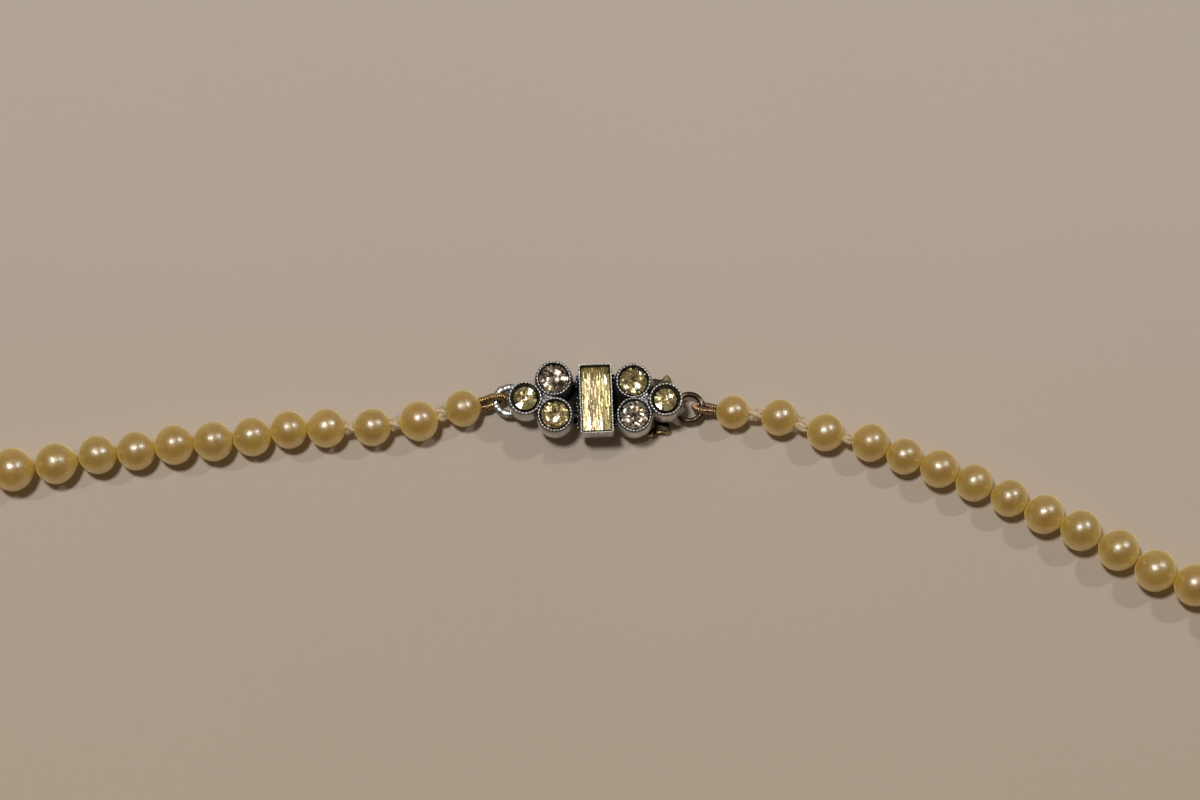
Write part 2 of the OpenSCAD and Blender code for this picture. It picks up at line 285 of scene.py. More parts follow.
def revolve(soup, profile, centre, n=64, wob=None, values=None, **kw):
    """A closed (r, z) outline turned round the vertical through centre."""
    p = np.asarray(profile, float)
    a = np.arange(n) / n * 2 * math.pi
    k = 1.0 if wob is None else wob(a)[None, :]
    r = p[:, :1] * k
    v = np.stack(
        [
            centre[0] + r * np.cos(a),
            centre[1] + r * np.sin(a),
            np.broadcast_to(p[:, 1:], r.shape if np.ndim(k) else (len(p), n)),
        ],
        2,
    ).reshape(-1, 3)
    vals = {k: np.repeat(np.asarray(x, float), n, 0) for k, x in (values or {}).items()}
    soup.add(v, grid(len(p), n, True, True), **vals, **kw)


def ball(soup, centre, radii, axes=(X, Y, Z), n=8, m=6, **kw):
    """A small closed ellipsoid."""
    centre, axes = np.asarray(centre, float), [np.asarray(a, float) for a in axes]
    rows = []
    for i in range(1, m):
        f = math.pi * i / m
        for j in range(n):
            a = 2 * math.pi * j / n
            d = (math.sin(f) * math.cos(a), math.sin(f) * math.sin(a), math.cos(f))
            rows.append(centre + sum(d[k] * radii[k] * axes[k] for k in range(3)))
    v = np.array(rows + [centre + radii[2] * axes[2], centre - radii[2] * axes[2]])
    faces = [grid(m - 1, n)[:, ::-1]]
    faces.append(fan(np.arange(n), (m - 1) * n))
    faces.append(fan(np.arange(n) + (m - 2) * n, (m - 1) * n + 1, True))
    soup.add(v, faces, **kw)


def loft(soup, rings, caps=(True, True), **kw):
    """Closed rings of the same number of points, joined in order and capped."""
    rings = [np.asarray(r, float) for r in rings]
    n = len(rings[0])
    v = np.vstack(rings)
    faces = [grid(len(rings), n)]
    extra = []
    if caps[0]:
        extra.append(rings[0].mean(0))
        faces.append(fan(np.arange(n), len(v), True))
    if caps[1]:
        faces.append(fan(np.arange(n) + (len(rings) - 1) * n, len(v) + len(extra)))
        extra.append(rings[-1].mean(0))
    if extra:
        v = np.vstack([v, extra])
    soup.add(v, faces, **kw)


def rounded(l, w, r, n=6):
    """Outline of a rounded rectangle about the origin, anticlockwise, in 2D."""
    out = []
    for k, (sx, sy) in enumerate([(1, 1), (-1, 1), (-1, -1), (1, -1)]):
        for i in range(n + 1):
            a = math.pi / 2 * (k + i / n)
            out.append(
                (sx * (l / 2 - r) + r * math.cos(a), sy * (w / 2 - r) + r * math.sin(a))
            )
    return np.array(out)


# ---------------------------------------------------------------- materials
class Mat:
    """Short hand for a node material."""

    def __init__(self, name):
        self.m = bpy.data.materials.new(name)
        self.m.use_nodes = True
        self.t = self.m.node_tree
        self.p = self.t.nodes["Principled BSDF"]
        self.out = self.t.nodes["Material Output"]
        self.x = 0

    def node(self, kind, **props):
        n = self.t.nodes.new(kind)
        self.x -= 40
        n.location = (self.x, 0)
        for k, v in props.items():
            setattr(n, k, v)
        return n

    def link(self, a, b):
        self.t.links.new(a, b)

    def put(self, socket, value):
        if isinstance(value, bpy.types.NodeSocket):
            self.link(value, socket)
        elif value is not None:
            socket.default_value = value

    def set(self, **values):
        for k, v in values.items():
            self.put(self.p.inputs[k.replace("_", " ")], v)

    def attr(self, name, out="Fac"):
        n = self.node("ShaderNodeAttribute", attribute_name=name)
        return n.outputs[out]

    def coords(self):
        return self.node("ShaderNodeTexCoord").outputs["Object"]

    def mapped(self, vec, scale):
        n = self.node("ShaderNodeMapping")
        self.put(n.inputs["Vector"], vec)
        n.inputs["Scale"].default_value = scale
        return n.outputs["Vector"]

    def noise(self, vec, scale, detail=2.0, rough=0.5, out="Fac", distortion=0.0):
        n = self.node("ShaderNodeTexNoise")
        self.put(n.inputs["Vector"], vec)
        n.inputs["Scale"].default_value = scale
        n.inputs["Detail"].default_value = detail
        n.inputs["Roughness"].default_value = rough
        n.inputs["Distortion"].default_value = distortion
        return n.outputs[out]

    def voronoi(self, vec, scale, feature="F1", out="Distance"):
        n = self.node("ShaderNodeTexVoronoi", feature=feature)
        self.put(n.inputs["Vector"], vec)
        n.inputs["Scale"].default_value = scale
        return n.outputs[out]

    def math(self, op, a, b=None, c=None, clamp=False):
        n = self.node("ShaderNodeMath", operation=op, use_clamp=clamp)
        self.put(n.inputs[0], a)
        self.put(n.inputs[1], b)
        self.put(n.inputs[2], c)
        return n.outputs[0]

    def span(self, value, a, b, lo=0.0, hi=1.0):
        n = self.node("ShaderNodeMapRange")
        n.interpolation_type = "SMOOTHSTEP"
        self.put(n.inputs["Value"], value)
        for k, x in (("From Min", a), ("From Max", b), ("To Min", lo), ("To Max", hi)):
            n.inputs[k].default_value = x
        return n.outputs["Result"]

    def mix(self, fac, a, b, blend="MIX"):
        n = self.node("ShaderNodeMix", data_type="RGBA", blend_type=blend)
        n.clamp_factor = True
        self.put(n.inputs[0], fac)
        for s, v in ((n.inputs[6], a), (n.inputs[7], b)):
            if isinstance(v, tuple) and len(v) == 3:
                v = (*v, 1.0)
            self.put(s, v)
        return n.outputs[2]

    def bump(self, height, distance, strength=1.0, normal=None):
        n = self.node("ShaderNodeBump")
        self.put(n.inputs["Height"], height)
        n.inputs["Distance"].default_value = distance
        n.inputs["Strength"].default_value = strength
        if normal is not None:
            self.link(normal, n.inputs["Normal"])
        return n.outputs["Normal"]


def nacre():
    """Cultured-pearl nacre: golden body colour, soft mottling, growth rings, crisp lustre, painted light near the drill
    holes and a faint painted glow.
    """
    m = Mat("nacre")
    loc = m.attr("local", "Vector")
    pole = m.attr("pole")
    tint = m.attr("tint", "Color")
    broad = m.noise(loc, 1.1, 2.5, 0.55)
    fine = m.noise(loc, 5.5, 3.0, 0.6)
    col = m.mix(m.span(broad, 0.36, 0.66), tint, (0.86, 0.76, 0.60), "MULTIPLY")
    col = m.mix(m.span(fine, 0.42, 0.72, 0.0, 0.6), col, (0.96, 0.84, 0.70), "MULTIPLY")
    # painted light: the body is lighter near each drill hole, standing in for the light that glows between touching
    # pearls
    col = m.mix(m.span(pole, 0.66, 1.0, 0.0, 1.0), col, (1.25, 1.33, 1.35), "MULTIPLY")
    # the odd darker fleck under the surface
    pits = m.voronoi(loc, 5.0)
    where = m.span(m.noise(loc, 2.3, 1.0), 0.56, 0.66)
    fleck = m.math("MULTIPLY", m.span(pits, 0.16, 0.05), where)
    col = m.mix(m.math("MULTIPLY", fleck, 0.45), col, (0.55, 0.36, 0.16), "MULTIPLY")
    col = m.mix(1.0, col, (0.585, 0.525, 0.010), "MULTIPLY")
    col.node.name = "grade"
    m.set(Base_Color=col)
    # the nacre's plates throw a broad white glow, its skin a crisp one
    m.set(Roughness=m.span(m.noise(loc, 3.2, 3.0, 0.6), 0.3, 0.75, 0.37, 0.44))
    m.set(Metallic=m.span(broad, 0.2, 0.8, 0.0, 0.12))
    m.p.inputs["Specular IOR Level"].default_value = 0.88
    m.p.inputs["IOR"].default_value = 2.1
    m.p.inputs["Specular Tint"].default_value = (1.0, 0.985, 0.90, 1.0)
    m.p.inputs["Coat Weight"].default_value = 1.0
    m.p.inputs["Coat Roughness"].default_value = 0.2
    m.p.inputs["Coat IOR"].default_value = 1.5
    m.p.inputs["Sheen Weight"].default_value = 1.0
    m.p.inputs["Sheen Roughness"].default_value = 0.5
    m.p.inputs["Sheen Tint"].default_value = (1.0, 0.80, 0.28, 1.0)
    m.p.inputs["Subsurface Weight"].default_value = 1.0
    m.p.inputs["Subsurface Radius"].default_value = (1.0, 0.62, 0.22)
    m.p.inputs["Subsurface Scale"].default_value = 0.0035
    # a faint painted glow: emission that stands in for the light that comes through a real pearl into its shadow
    m.p.inputs["Emission Color"].default_value = (1.0, 0.53, 0.10, 1.0)
    m.p.inputs["Emission Strength"].default_value = 0.06
    # growth rings round the drill axis, and a faint dimpled skin
    ring = m.noise(m.mapped(loc, (0.7, 0.7, 13.0)), 1.0, 3.0, 0.6)
    skin = m.noise(loc, 11.0, 3.0, 0.6)
    lumps = m.noise(loc, 3.6, 2.0, 0.5)
    dents = m.span(m.voronoi(loc, 6.0), 0.0, 0.36)
    rough = m.span(m.noise(loc, 1.3, 1.0), 0.38, 0.66, 0.35, 1.0)
    h = m.math("ADD", m.math("MULTIPLY", ring, 0.5), m.math("MULTIPLY", skin, 0.30))
    h = m.math("ADD", h, m.math("MULTIPLY", dents, 0.15))
    h = m.math("MULTIPLY", h, rough)
    h = m.math("ADD", h, m.math("MULTIPLY", lumps, 0.55))
    h = m.math("SUBTRACT", h, m.math("MULTIPLY", fleck, 0.5))
    nrm = m.bump(h, 0.00005, 0.6)
    m.set(Normal=nrm)
    coat = m.bump(h, 0.00008, 0.62)
    m.link(coat, m.p.inputs["Coat Normal"])
    return m.m


def silk():
    """Cream silk: fine fibres along the strand, darkened by dirt: soiling at random on the knots, painted shade on the
    silk inside the gimps.
    """
    m = Mat("silk")
    p = m.coords()
    fibre = m.noise(m.mapped(p, (9000, 2500, 9000)), 1.0, 3.0, 0.65)
    soft = m.noise(p, 700.0, 2.0)
    dirt = m.attr("dirt")
    col = m.mix(m.span(fibre, 0.35, 0.7), (0.77, 0.59, 0.37), (0.95, 0.80, 0.56))
    col = m.mix(m.span(soft, 0.35, 0.7, 0.0, 0.5), col, (0.90, 0.73, 0.60), "MULTIPLY")
    col = m.mix(dirt, col, (0.50, 0.40, 0.30), "MULTIPLY")
    m.set(Base_Color=col, Roughness=m.span(fibre, 0.3, 0.8, 0.5, 0.75))
    m.p.inputs["Sheen Weight"].default_value = 0.5
    m.p.inputs["Sheen Roughness"].default_value = 0.35
    m.p.inputs["Sheen Tint"].default_value = (1.0, 0.90, 0.74, 1.0)
    m.p.inputs["Subsurface Weight"].default_value = 0.1
    m.p.inputs["Subsurface Scale"].default_value = 0.0003
    m.set(Normal=m.bump(fibre, 0.00002, 0.7))
    return m.m


def metal(name, bright, dull, dark, rough=(0.16, 0.34), grain=2600.0, tarnish=(0.55, 0.75), depth=0.000006, tarn=0.8, polish=1.0):
    """Worn cast and polished metal. dirt (0 to 1 per point) darkens it: tarnish in the hollows, and painted shade on
    shaded sides, undersides and recesses.
    """
    m = Mat(name)
    p = m.coords()
    dirt = m.attr("dirt")
    big = m.noise(p, 420.0, 3.0, 0.6)
    small = m.noise(p, grain, 3.0, 0.65)
    scr = m.noise(m.mapped(p, (1200, 9000, 5200)), 1.0, 2.0, 0.7)
    col = m.mix(m.span(big, 0.35, 0.7), bright, dull)
    patch = m.math("MULTIPLY", m.span(m.noise(p, 900.0, 4.0, 0.7), *tarnish), tarn)
    shade = m.math("MAXIMUM", dirt, patch)
    shade = m.math("MULTIPLY", shade, m.span(small, 0.1, 0.55, 0.6, 1.0))
    shade = m.math("MAXIMUM", shade, m.span(dirt, 0.75, 1.0, 0.0, 0.97))
    col = m.mix(shade, col, dark)
    m.set(Base_Color=col, Metallic=polish)
    r = m.span(small, 0.25, 0.8, *rough)
    r = m.math("ADD", r, m.math("MULTIPLY", shade, 0.22))
    r = m.math("ADD", r, m.math("MULTIPLY", scr, 0.05), clamp=True)
    m.set(Roughness=r)
    h = m.math("ADD", m.math("MULTIPLY", small, 0.6), m.math("MULTIPLY", scr, 0.4))
    m.set(Normal=m.bump(h, depth, 0.6))
    return m.m


def paste(name, tint, ior=1.62):
    """Clear cut glass over the foil: tinted, glossy, with wear on the facets."""
    m = Mat(name)
    p = m.coords()
    wear = m.noise(p, 5200.0, 3.0, 0.7)
    col = m.mix(m.span(m.noise(p, 900.0, 2.0), 0.3, 0.7), tint, tuple(min(1, c * 1.2) for c in tint))
    m.set(Base_Color=col, Roughness=m.span(wear, 0.45, 0.8, 0.03, 0.16))
    m.set(Alpha=m.span(wear, 0.35, 0.8, 0.20, 0.34))
    m.p.inputs["IOR"].default_value = ior
    m.p.inputs["Specular IOR Level"].default_value = 0.8
    m.set(Normal=m.bump(wear, 0.000002, 0.25))
    return m.m


def foil(name):
    """Foiled facets seen in the stone, tinted one by one as painted reflections, with crumples and dull spots."""
    m = Mat(name)
    p = m.coords()
    tint = m.attr("tint", "Color")
    spots = m.noise(p, 4200.0, 3.0, 0.7)
    col = m.mix(m.span(spots, 0.48, 0.72, 0.0, 0.75), tint, (0.50, 0.42, 0.30), "MULTIPLY")
    m.set(Base_Color=col, Metallic=m.span(spots, 0.2, 0.8, 0.62, 0.45))
    m.set(Roughness=m.span(m.noise(p, 2100.0, 2.0), 0.3, 0.7, 0.27, 0.40))
    m.set(Normal=m.bump(m.noise(p, 3600.0, 3.0, 0.65), 0.00003, 0.6))
    return m.m


def floor_material():
    m = Mat("floor")
    p = m.coords()
    soft = m.noise(p, 9.0, 3.0, 0.6)
    tooth = m.noise(p, 900.0, 3.0, 0.6)
    # painted light: the floor is darker and warmer towards the front, lighter and cooler at the back
    sep = m.node("ShaderNodeSeparateXYZ")
    m.link(p, sep.inputs[0])
    col = m.mix(m.span(sep.outputs["Y"], 0.015, 0.100), (0.640, 0.517, 0.396), (0.688, 0.582, 0.504))
    col = m.mix(m.span(soft, 0.3, 0.7, 0.0, 1.0), col, (1.024, 1.024, 1.03), "MULTIPLY")
    col = m.mix(m.span(tooth, 0.35, 0.75, 0.0, 0.5), col, (0.985, 0.98, 0.972), "MULTIPLY")
    m.set(Base_Color=col, Roughness=0.75)
    m.p.inputs["Specular IOR Level"].default_value = 0.25
    m.set(Normal=m.bump(tooth, 0.00002, 0.25))
    return m.m


NACRE = nacre()
SILK = silk()
# painted highlight: the milgrain is near-white and only half metallic, so the beads read bright under any lamp
MILGRAIN = metal("milgrain", (0.97, 0.96, 0.95), (0.84, 0.83, 0.81), (0.05, 0.045, 0.04), rough=(0.22, 0.33), tarn=0.15, polish=0.55)
# dark oxidised metal for the recessed bars, rods and the box's top plate: tarnish with painted shade
OXIDE_AND_SHADE = metal("oxide_and_shade", (0.110, 0.100, 0.092), (0.050, 0.045, 0.040), (0.014, 0.012, 0.010), rough=(0.42, 0.60))
SILVER = metal("rhodium", (0.79, 0.77, 0.745), (0.56, 0.545, 0.525), (0.030, 0.027, 0.024), rough=(0.20, 0.36), tarn=0.35)
BRONZE = metal("tarnished_brass", (0.86, 0.62, 0.26), (0.52, 0.36, 0.15), (0.034, 0.025, 0.017), tarnish=(0.46, 0.66), tarn=0.8)
DARK_RING = metal("tarnished_ring", (0.20, 0.135, 0.082), (0.085, 0.060, 0.040), (0.024, 0.018, 0.013), rough=(0.20, 0.32), tarnish=(0.40, 0.62), tarn=0.9)
GIMP_GOLD = metal("gimp_gold", (0.70, 0.47, 0.20), (0.32, 0.20, 0.083), (0.040, 0.024, 0.012), rough=(0.18, 0.34), tarnish=(0.50, 0.72), tarn=0.8)
GIMP_ROSE = metal("gimp_copper", (0.66, 0.43, 0.27), (0.30, 0.185, 0.115), (0.044, 0.026, 0.016), rough=(0.18, 0.34), tarnish=(0.50, 0.72), tarn=0.75)
YELLOW_PASTE = paste("yellow_paste", (0.25, 0.20, 0.075))
CLEAR_PASTE = paste("clear_paste", (0.15, 0.125, 0.10))
FOIL = foil("foil")

# ---------------------------------------------------------------- the strand
# end tables: diameter, gap to the pearl before, how far the step turns down, tip
LEFT = [
    (3.20, 0, 0, 0), (3.50, 0.78, 16.5, 0), (3.30, 0.84, 8, 0), (3.40, 0.80, 1, 0),
    (3.30, 0.04, 2.5, 0), (3.40, 0.03, 11, 0), (3.50, 0.05, 7, 0), (3.50, 0.03, 5.5, 0),
    (3.40, 0.03, 9, 0), (3.40, 0.05, 5.5, 0), (3.60, 0.36, 13, 0.36), (3.80, 0.22, 8, 0.23),
]
RIGHT = [
    (2.95, 0, 0, 0), (3.20, 1.15, 7, 0), (3.30, 1.12, 18.5, 0), (3.30, 0.88, 13, 0),
    (3.20, 0.03, 22, 0), (3.40, 0.03, 20, 0), (3.30, 0.03, 22.5, 0), (3.30, 0.14, 24, 0),
    (3.50, 0.04, 25.5, 0), (3.60, 0.04, 24.5, 0), (3.65, 0.18, 28, 0.14),
    (3.70, 0.08, 29.5, 0), (3.75, 0.03, 20.5, 0),
]
COUNT, SINGLES, GAP, GROWTH, START_D, KNOTS, THREAD_D = 63, 39, 0.03, 1.25, 3.8, 3, 0.34
WAY = [
    (-63, -10), (-71.5, -18), (-76.5, -30), (-77.5, -45), (-74, -62), (-65, -80),
    (-50, -96), (-30, -108), (-8, -114), (15, -114.5), (37, -109), (56, -98),
    (70, -83), (78, -66), (79.5, -50), (76, -37), (67.5, -25),
]


def end_xy(tab, side, start):
    p = [arr(*start)]
    for a, b in zip(tab, tab[1:]):
        t = math.radians(b[2])
        p.append(
            p[-1] + (a[0] / 2 + b[0] / 2 + b[1]) * arr(side * math.cos(t), -math.sin(t))
        )
    return p


left_xy = end_xy(LEFT, -1, (-12.03, -0.5))
right_xy = end_xy(RIGHT, 1, (12.4, -0.8))
way = [left_xy[-3], left_xy[-1], *[arr(*p) for p in WAY], right_xy[-1], right_xy[-3]]
curve = []
for a, b, c, d in zip(way, way[1:], way[2:], way[3:]):
    for k in range(12):
        t = k / 12
        curve.append(
            0.5 * (2 * b + (c - a) * t + (2 * a - 5 * b + 4 * c - d) * t**2
                   + (3 * b - a - 3 * c + d) * t**3)
        )
curve = np.array(curve + [way[-2]])
run = np.r_[0, np.cumsum(np.linalg.norm(np.diff(curve, axis=0), axis=1))]


def along(s):
    return arr(np.interp(s, run, curve[:, 0]), np.interp(s, run, curve[:, 1]))


half = (COUNT - 1) / 2
grade = [((half + 1 - abs(i - half)) / (half + 1)) ** GROWTH for i in range(COUNT)]
row_l = run[-1] - LEFT[-1][0] / 2 - RIGHT[-1][0] / 2 - (COUNT + 1) * GAP
middle_d = START_D + (row_l - COUNT * START_D) / sum(grade)
front_d = [START_D + (middle_d - START_D) * g for g in grade]
front_s = [LEFT[-1][0] / 2 + GAP + front_d[0] / 2]
for a, b in zip(front_d, front_d[1:]):
    front_s.append(front_s[-1] + a / 2 + b / 2 + GAP)
front_c = [arr(*along(s), d / 2) for s, d in zip(front_s, front_d)]
left_c = [arr(*p, r[0] / 2) for p, r in zip(left_xy, LEFT)]
right_c = [arr(*p, r[0] / 2) for p, r in zip(right_xy, RIGHT)]
SIDE = (COUNT - SINGLES) // 2


def touch(i):
    p = along(front_s[min(i, COUNT - 1)] - front_d[min(i, COUNT - 1)] / 2) if i < COUNT else along(
        front_s[-1] + front_d[-1] / 2
    )
    return arr(p[0], p[1], front_d[min(i, COUNT - 1)] / 4 + front_d[max(i - 1, 0)] / 4)


# body colours (linear): cream, gold, rose and lemon, blended per pearl
CREAM, GOLD = arr(0.660, 0.470, 0.225), arr(0.640, 0.420, 0.150)
ROSE, LEMON = arr(0.690, 0.465, 0.245), arr(0.590, 0.455, 0.165)
TINTS = {  # cream, gold, rose, lemon, lightness
    "L0": (0.5, 0.5, 0, 0, 0.97), "L1": (0.4, 0, 0.6, 0, 1.04), "L2": (0.2, 0.5, 0, 0.3, 0.98),
    "L3": (0.3, 0, 0.7, 0, 1.06), "L4": (0.6, 0.2, 0.2, 0, 1.0), "L5": (0.4, 0, 0, 0.6, 1.05),
    "L6": (0.5, 0.3, 0.2, 0, 1.0), "L7": (0.4, 0.1, 0.5, 0, 1.02), "L8": (0.4, 0.6, 0, 0, 0.98),
    "L9": (0.2, 0.1, 0, 0.7, 1.0), "L10": (0.6, 0.3, 0, 0.1, 1.0), "L11": (0.3, 0, 0.7, 0, 1.03),
    "R0": (0.3, 0.1, 0.6, 0, 0.97), "R1": (0.3, 0.6, 0.1, 0, 1.0), "R2": (0.4, 0.4, 0.2, 0, 1.0),
    "R3": (0.5, 0.4, 0, 0.1, 1.02), "R4": (0.3, 0.2, 0, 0.5, 1.0), "R5": (0.5, 0.1, 0.2, 0.2, 1.0),
    "R6": (0.2, 0.2, 0, 0.6, 1.02), "R7": (0.3, 0.2, 0, 0.5, 1.03), "R8": (0.3, 0.4, 0.3, 0, 1.03),
    "R9": (0.3, 0.3, 0, 0.4, 1.0), "R10": (0.7, 0, 0, 0.3, 1.03), "R11": (0.7, 0.3, 0, 0, 1.0),
    "R12": (0.5, 0.2, 0.3, 0, 1.02),
}
# local swellings: (direction in clasp frame, width, height as a share of the radius)
BUMPS = {
    "R8": [((0.93, -0.30, 0.15), 0.30, 0.022)],
    "R9": [((-0.93, 0.35, 0.25), 0.30, 0.035), ((-0.60, -0.60, 0.30), 0.7, -0.020)],
    "L9": [((-0.7, -0.5, 0.2), 0.6, 0.015), ((0.5, 0.75, 0.2), 0.7, -0.022)],
    "L10": [((0.2, -0.9, 0.1), 0.8, -0.015)],
    "L6": [((-0.3, 0.8, 0.3), 0.8, -0.015)],
    "R5": [((0.1, 0.9, 0.2), 0.7, -0.015)],
    "R12": [((0.3, 0.9, 0.2), 0.8, -0.02)],
}


def tint_of(name, rng):
    if name in TINTS:
        c, g, r, l, k = TINTS[name]
    else:
        c, g, r, l = rng.dirichlet((2.2, 1.4, 1.2, 0.9))
        k = rng.uniform(0.96, 1.06)
    col = (c * CREAM + g * GOLD + r * ROSE + l * LEMON) * k
    return np.r_[np.clip(col, 0, 1), 1.0]


def add_pearl(soup, name, c, d, axis, seed, tip=0.0, nu=64, nv=38, hole=0.27, uneven=0.012):
    """One drilled pearl: a skin with a rounded lip at each end of its bore. tip draws it out against axis."""
    rng = np.random.default_rng(seed)
    r = d / 2
    w = unit(axis)
    u = unit(np.cross(Z, w))
    v = np.cross(w, u)
    f0 = math.asin(hole / r) + 0.03
    f = f0 + (math.pi - 2 * f0) * np.arange(nv) / (nv - 1)
    a = np.arange(nu) / nu * 2 * math.pi
    F, A = np.meshgrid(f, a, indexing="ij")
    dl = np.stack([np.sin(F) * np.cos(A), np.sin(F) * np.sin(A), np.cos(F)], 2)
    wide = 0.045 if name in TINTS else 0.0
    dw = (1 + wide) * (dl[..., :1] * u + dl[..., 1:2] * v) + dl[..., 2:] * w
    c = c + wide * r * Z
    # slow unevenness that fades out where pearls touch and where they rest
    n = np.zeros(F.shape)
    for k in range(7):
        q = unit(rng.normal(size=3))
        n += rng.normal() * (dl @ q) ** (2 + k % 2)
    n = (n - n.mean()) / (np.abs(n - n.mean()).max() + 1e-9)
    quiet = 1 - smooth01((np.abs(dl[..., 2]) - 0.82) / 0.15)
    reach = 0.028 * smooth01((np.abs(dl[..., 2]) - 0.84) / 0.13)
    low = 1 - smooth01((-dw[..., 2] - 0.80) / 0.17)
    R = r * (1 + uneven * (n - 0.4) * quiet * low) + reach
    for direction, width, height in BUMPS.get(name, ()):
        ang = np.arccos(np.clip(dw @ unit(direction), -1, 1))
        R += r * height * np.exp(-((ang / width) ** 2)) * low
    if tip > 0:
        apex = r + 1.6 * tip
        ft = math.acos(r / apex)
        back = math.pi - F
        cone = np.where(back < ft, r / np.cos(np.clip(ft - back, 0, 1.4)), 0)
        cone = np.minimum(cone, r + tip - 0.12 * smooth01(back / 0.5) * 0)
        R = np.where(back < ft, np.maximum(R, cone), R)
    P = c + R[..., None] * dw
    # the bore, from the lip at +w to the lip at -w
    rows, pole = [P], [np.abs(np.cos(F))]
    ends = []
    for s, Re in ((1, R[0].mean()), (-1, R[-1].mean())):
        z0 = Re * math.cos(f0)
        lip = [(hole + 0.035, z0 + 0.012), (hole - 0.005, z0 - 0.03), (hole - 0.03, z0 - 0.10)]
        ends.append([(rho, s * z) for rho, z in lip])
    prof = ends[1] + [(hole - 0.03, 0.0)] + ends[0][::-1]
    ring = np.cos(a)[:, None] * u + np.sin(a)[:, None] * v
    for rho, z in prof:
        rows.append((c + rho * ring + z * w)[None])
        pole.append(np.ones((1, nu)))
    V = np.vstack([x.reshape(-1, nu, 3) for x in rows])
    local = (V - c) / r @ np.stack([u, v, w], 1) + rng.uniform(-40, 40, 3)
    faces = grid(len(V), nu, True, True)
    tint = np.tile(tint_of(name, rng), (V.shape[0] * nu, 1))
    if name == "L11":  # its drill hole is chipped and amber
        d = V.reshape(-1, 3) - c
        end = d @ -w / r + 0.05 * np.sin(7 * np.arctan2(d @ u, d @ v) + 1)
        chip = smooth01((end - 0.93) / 0.03) * (1 - smooth01((end - 1.05) / 0.03))
        tint[:, :3] *= 1 - chip[:, None] * arr(0.10, 0.52, 0.85)
    soup.add(
        V,
        faces,
        local=local.reshape(-1, 3),
        pole=np.vstack(pole).ravel(),
        tint=tint,
    )


def pearl_soup():
    return Soup(local=(0.0, 0.0, 0.0), pole=0.0, tint=(0.6, 0.45, 0.2, 1.0))


# the single pearls of the front
for n in range(1, SINGLES + 1):
    i = SIDE + n - 1
    node = f"pearl_{n:02d}"
    s = pearl_soup()
    add_pearl(s, node, front_c[i], front_d[i], touch(i + 1) - touch(i), 100 + i, nu=60, nv=34)
    s.build(f"nacre_{n:02d}", [NACRE], [node], "pearl")

# the small pearls beside the clasp, joined along their thread
for side, tab, cs, order in (
    ("left", LEFT, left_c, list(range(SIDE))),
    ("right", RIGHT, right_c, [COUNT - 1 - k for k in range(SIDE)]),
):
    s = pearl_soup()
    allc = cs + [front_c[i] for i in order]
    alld = [r[0] for r in tab] + [front_d[i] for i in order]
    for k, (c, d) in enumerate(zip(allc, alld)):
        prev = allc[max(k - 1, 0)]
        nxt = allc[min(k + 1, len(allc) - 1)]
        tip = tab[k][3] if k < len(tab) else 0
        ax = nxt - prev if tip == 0 else c - prev
        name = f"{side[0].upper()}{k}" if k < len(tab) else f"{side}_{k}"
        add_pearl(s, name, c, d, ax, (300 if side == "left" else 400) + k, tip,
                  uneven=0.016 if k < len(tab) else 0.012,
                  nu=64 if k < len(tab) else 60, nv=40 if k < len(tab) else 34)
    s.build(f"strand_{side}_pearls", [NACRE], [f"strand_{side}"], "pearl")

# ---------------------------------------------------------------- silk
lobes = np.arange(12) / 12 * 2 * math.pi
LOBED = np.stack([np.cos(lobes), np.sin(lobes)], 1) * (1 + 0.16 * np.cos(3 * lobes))[:, None] * 0.86


def cord(soup, points, d=THREAD_D, step=0.16, **kw):
    path, t = resample(points, step)
    sweep(soup, path, d / 2, profile=LOBED, twist=t / 1.25 * 2 * math.pi / 1, **kw)


s = Soup(dirt=0.1)
pts = []
for i in range(SIDE, SIDE + SINGLES):
    pts += [touch(i), front_c[i]]
pts.append(touch(SIDE + SINGLES))
cord(s, pts, step=0.2)
s.build("silk_front", [SILK], ["thread"], "silk")


